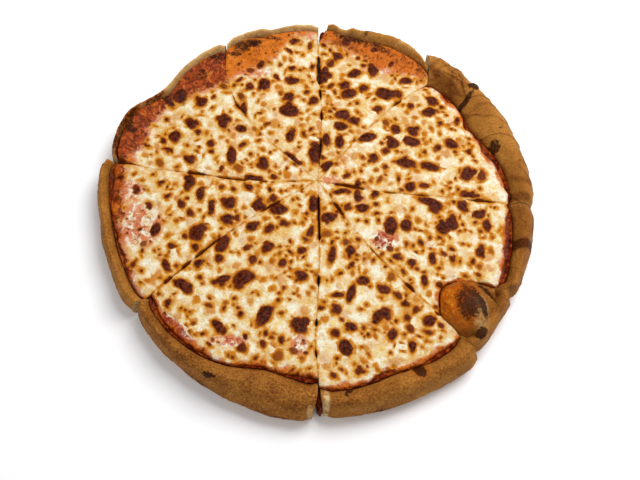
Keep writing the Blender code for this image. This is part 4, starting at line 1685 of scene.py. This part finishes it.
@dataclass(frozen=True)
class FriedDough(Finish):
    """Yeast dough baked in an oiled pan.

    The outside is fried: dry and matt, with a fine grain of burst bubbles, golden on its high
    spots and brown between them. A cut shows the pale crumb.
    """

    light: str = "#d6ae72"
    golden: str = "#b07631"
    brown: str = "#804c1c"
    deep_brown: str = "#4d2409"
    crumb: str = "#d2b783"
    orange: str = "#b3570b"
    amber: str = "#d38a26"
    # Painted shade: the dark colour of the cut faces below the rim
    foot: str = "#3f1203"
    burnt: str = "#270c07"

    def material(self) -> bpy.types.Material:
        """Make the material.

        Returns:
            The material, which reads the values toast, char, glaze, crumb, fried and cut_face_shade.
        """
        material, shader, pattern = self.start()
        noise = {length: pattern.noise(length, 0.6) for length in (9.0, 3.0, 1.5)}
        glaze = pattern.value("glaze")
        grainy = pattern.plus(pattern.times(pattern.value("fried"), 0.75), 0.3)
        specks = pattern.times(pattern.swing(noise[1.5], 1.0), grainy)
        toast = pattern.plus(pattern.value("toast"), pattern.swing(noise[9.0], 0.28))
        toast = pattern.plus(toast, specks)
        stops = ((0.0, self.light), (0.45, self.golden), (0.75, self.brown), (1.0, self.deep_brown))
        base = add(pattern.tree, "ShaderNodeValToRGB", {"Fac": toast}, stops=stops).outputs["Color"]
        orange = pattern.times(glaze, pattern.ramp(noise[9.0], 0.2, 0.5))
        base = pattern.blend(base, self.orange, orange)
        oily = pattern.times(glaze, pattern.ramp(noise[3.0], 0.5, 0.68, 0.8))
        base = pattern.blend(base, self.amber, oily)
        torn = pattern.times(pattern.value("crumb"), pattern.ramp(noise[3.0], 0.3, 0.6))
        base = pattern.blend(base, self.crumb, torn)
        # Painted shade on the cut faces below the rim
        base = pattern.blend(base, self.foot, pattern.value("cut_face_shade"))
        broken = pattern.plus(pattern.swing(noise[3.0], 1.7), pattern.swing(noise[1.5], 1.3))
        base, _ = pattern.burn(base, self.burnt, broken, (0.2, 1.0, 0.9))
        gloss = pattern.work_out("SUBTRACT", self.roughness, pattern.times(glaze, 0.35))
        gloss = pattern.plus(gloss, pattern.swing(noise[3.0], 0.3))
        bumps = pattern.plus(pattern.times(noise[3.0], 0.6), noise[1.5])
        self.connect(pattern, shader, base, gloss, bumps, 0.7)
        return material


@dataclass(frozen=True)
class TomatoSauce(Finish):
    """Cooked tomato sauce dried at its edge: wet, dark red, with orange oil and browned rims."""

    red: str = "#6c2008"
    dark: str = "#380d03"
    oily: str = "#a85417"

    def material(self) -> bpy.types.Material:
        """Make the material.

        Returns:
            The material, which reads the value oil.
        """
        material, shader, pattern = self.start()
        pulp = pattern.noise(3.2)
        stops = ((0.36, self.dark), (0.55, self.red), (0.72, self.oily))
        base = add(pattern.tree, "ShaderNodeValToRGB", {"Fac": pulp}, stops=stops).outputs["Color"]
        base = pattern.blend(base, self.oily, pattern.ramp(pattern.value("oil"), 0.5, 1.0, 0.7))
        gloss = pattern.plus(pattern.swing(pulp, 0.3), self.roughness)
        self.connect(pattern, shader, base, gloss, pulp, 0.7)
        return material


@dataclass(frozen=True)
class Lamp:
    """A square soft light that points at the pizza: place and side in metres, power in watts."""

    name: str
    place: tuple[float, float, float]
    size: float
    power: float

    def hang(self) -> None:
        """Add the light to the scene."""
        data = bpy.data.lights.new(self.name, "AREA")
        data.size = self.size
        data.energy = self.power
        made = bpy.data.objects.new(self.name, data)
        made.location = self.place
        back = np.array(self.place) / np.linalg.norm(self.place)
        made.rotation_euler = (math.acos(back[2]), 0.0, math.atan2(back[0], -back[1]))
        bpy.context.scene.collection.objects.link(made)


@dataclass(frozen=True)
class Studio:
    """Pale table, soft light from the far right, and a camera that looks down from the near side."""

    aim: tuple[float, float, float] = (0.0066, -0.0243, 0.0)
    elevation: float = 67.13
    distance: float = 0.65
    roll: float = 6.91
    focal_in_widths: float = 788.7 / 640.0
    sensor_width: float = 36.0
    nearest: float = 0.01
    table_size: float = 6.0
    table_paint: str = "#f7f7f8"
    lamps: tuple[Lamp, ...] = (Lamp("window", (0.33, 0.42, 1.0), 0.7, 13.0),
                               Lamp("room", (-0.5, -0.6, 0.9), 1.2, 3.0))
    surroundings: float = 0.36

    def camera(self) -> None:
        """Place the camera, turned about its line of sight as it was held."""
        angle, roll = math.radians(self.elevation), math.radians(self.roll)
        back = np.array((0.0, -math.cos(angle), math.sin(angle)))
        right, up = np.array((1.0, 0.0, 0.0)), np.array((0.0, math.sin(angle), math.cos(angle)))
        turned_right = math.cos(roll) * right + math.sin(roll) * up
        turned_up = -math.sin(roll) * right + math.cos(roll) * up
        data = bpy.data.cameras.new("camera")
        data.sensor_width = self.sensor_width
        data.lens = self.focal_in_widths * self.sensor_width
        data.clip_start = self.nearest
        made = bpy.data.objects.new("camera", data)
        matrix = np.eye(4)
        matrix[:3, 0], matrix[:3, 1], matrix[:3, 2] = turned_right, turned_up, back
        matrix[:3, 3] = np.array(self.aim) + back * self.distance
        made.matrix_world = Matrix(matrix.tolist())
        bpy.context.scene.collection.objects.link(made)
        bpy.context.scene.camera = made

    def table(self) -> None:
        """Lay the pale table: one square, matt and nearly white."""
        half = self.table_size / 2.0
        corners = [(-half, -half, 0.0), (half, -half, 0.0), (half, half, 0.0), (-half, half, 0.0)]
        mesh = bpy.data.meshes.new("table")
        mesh.from_pydata(corners, [], [(0, 1, 2, 3)])
        material = bpy.data.materials.new("matt_white_paint")
        material.use_nodes = True
        shader = material.node_tree.nodes["Principled BSDF"]
        shader.inputs["Base Color"].default_value = linear(self.table_paint)
        shader.inputs["Roughness"].default_value = 0.9
        shader.inputs["Specular IOR Level"].default_value = 0.2
        mesh.materials.append(material)
        made = bpy.data.objects.new("table", mesh)
        bpy.context.scene.collection.objects.link(made)

    def build(self) -> None:
        """Set up table, lights, surroundings and camera."""
        self.table()
        self.camera()
        for lamp in self.lamps:
            lamp.hang()
        world = bpy.data.worlds.new("surroundings")
        world.use_nodes = True
        background = world.node_tree.nodes["Background"]
        background.inputs["Color"].default_value = (1.0, 1.0, 1.0, 1.0)
        background.inputs["Strength"].default_value = self.surroundings
        bpy.context.scene.world = world
        bpy.context.scene.view_settings.view_transform = "Standard"


def main() -> None:
    """Build the slices and the studio, and log each piece's face count."""
    logging.basicConfig(level=logging.INFO, format="%(message)s")
    Studio().build()
    layout = Layout()
    dough = FriedDough("fried_pan_dough", roughness=0.6, specular=0.05)
    sauce = TomatoSauce("baked_tomato_sauce", roughness=0.24, specular=0.05)
    cheese = MeltedCheese("melted_mozzarella", roughness=0.34, specular=0.07, subsurface=0.03)
    looks = ((Dough, dough.material()), (Sauce, sauce.material()), (Cheese, cheese.material()))
    for number in range(len(SLICES)):
        for layer, look in looks:
            layer(layout, number).build(look)


if __name__ == "__main__":
    main()
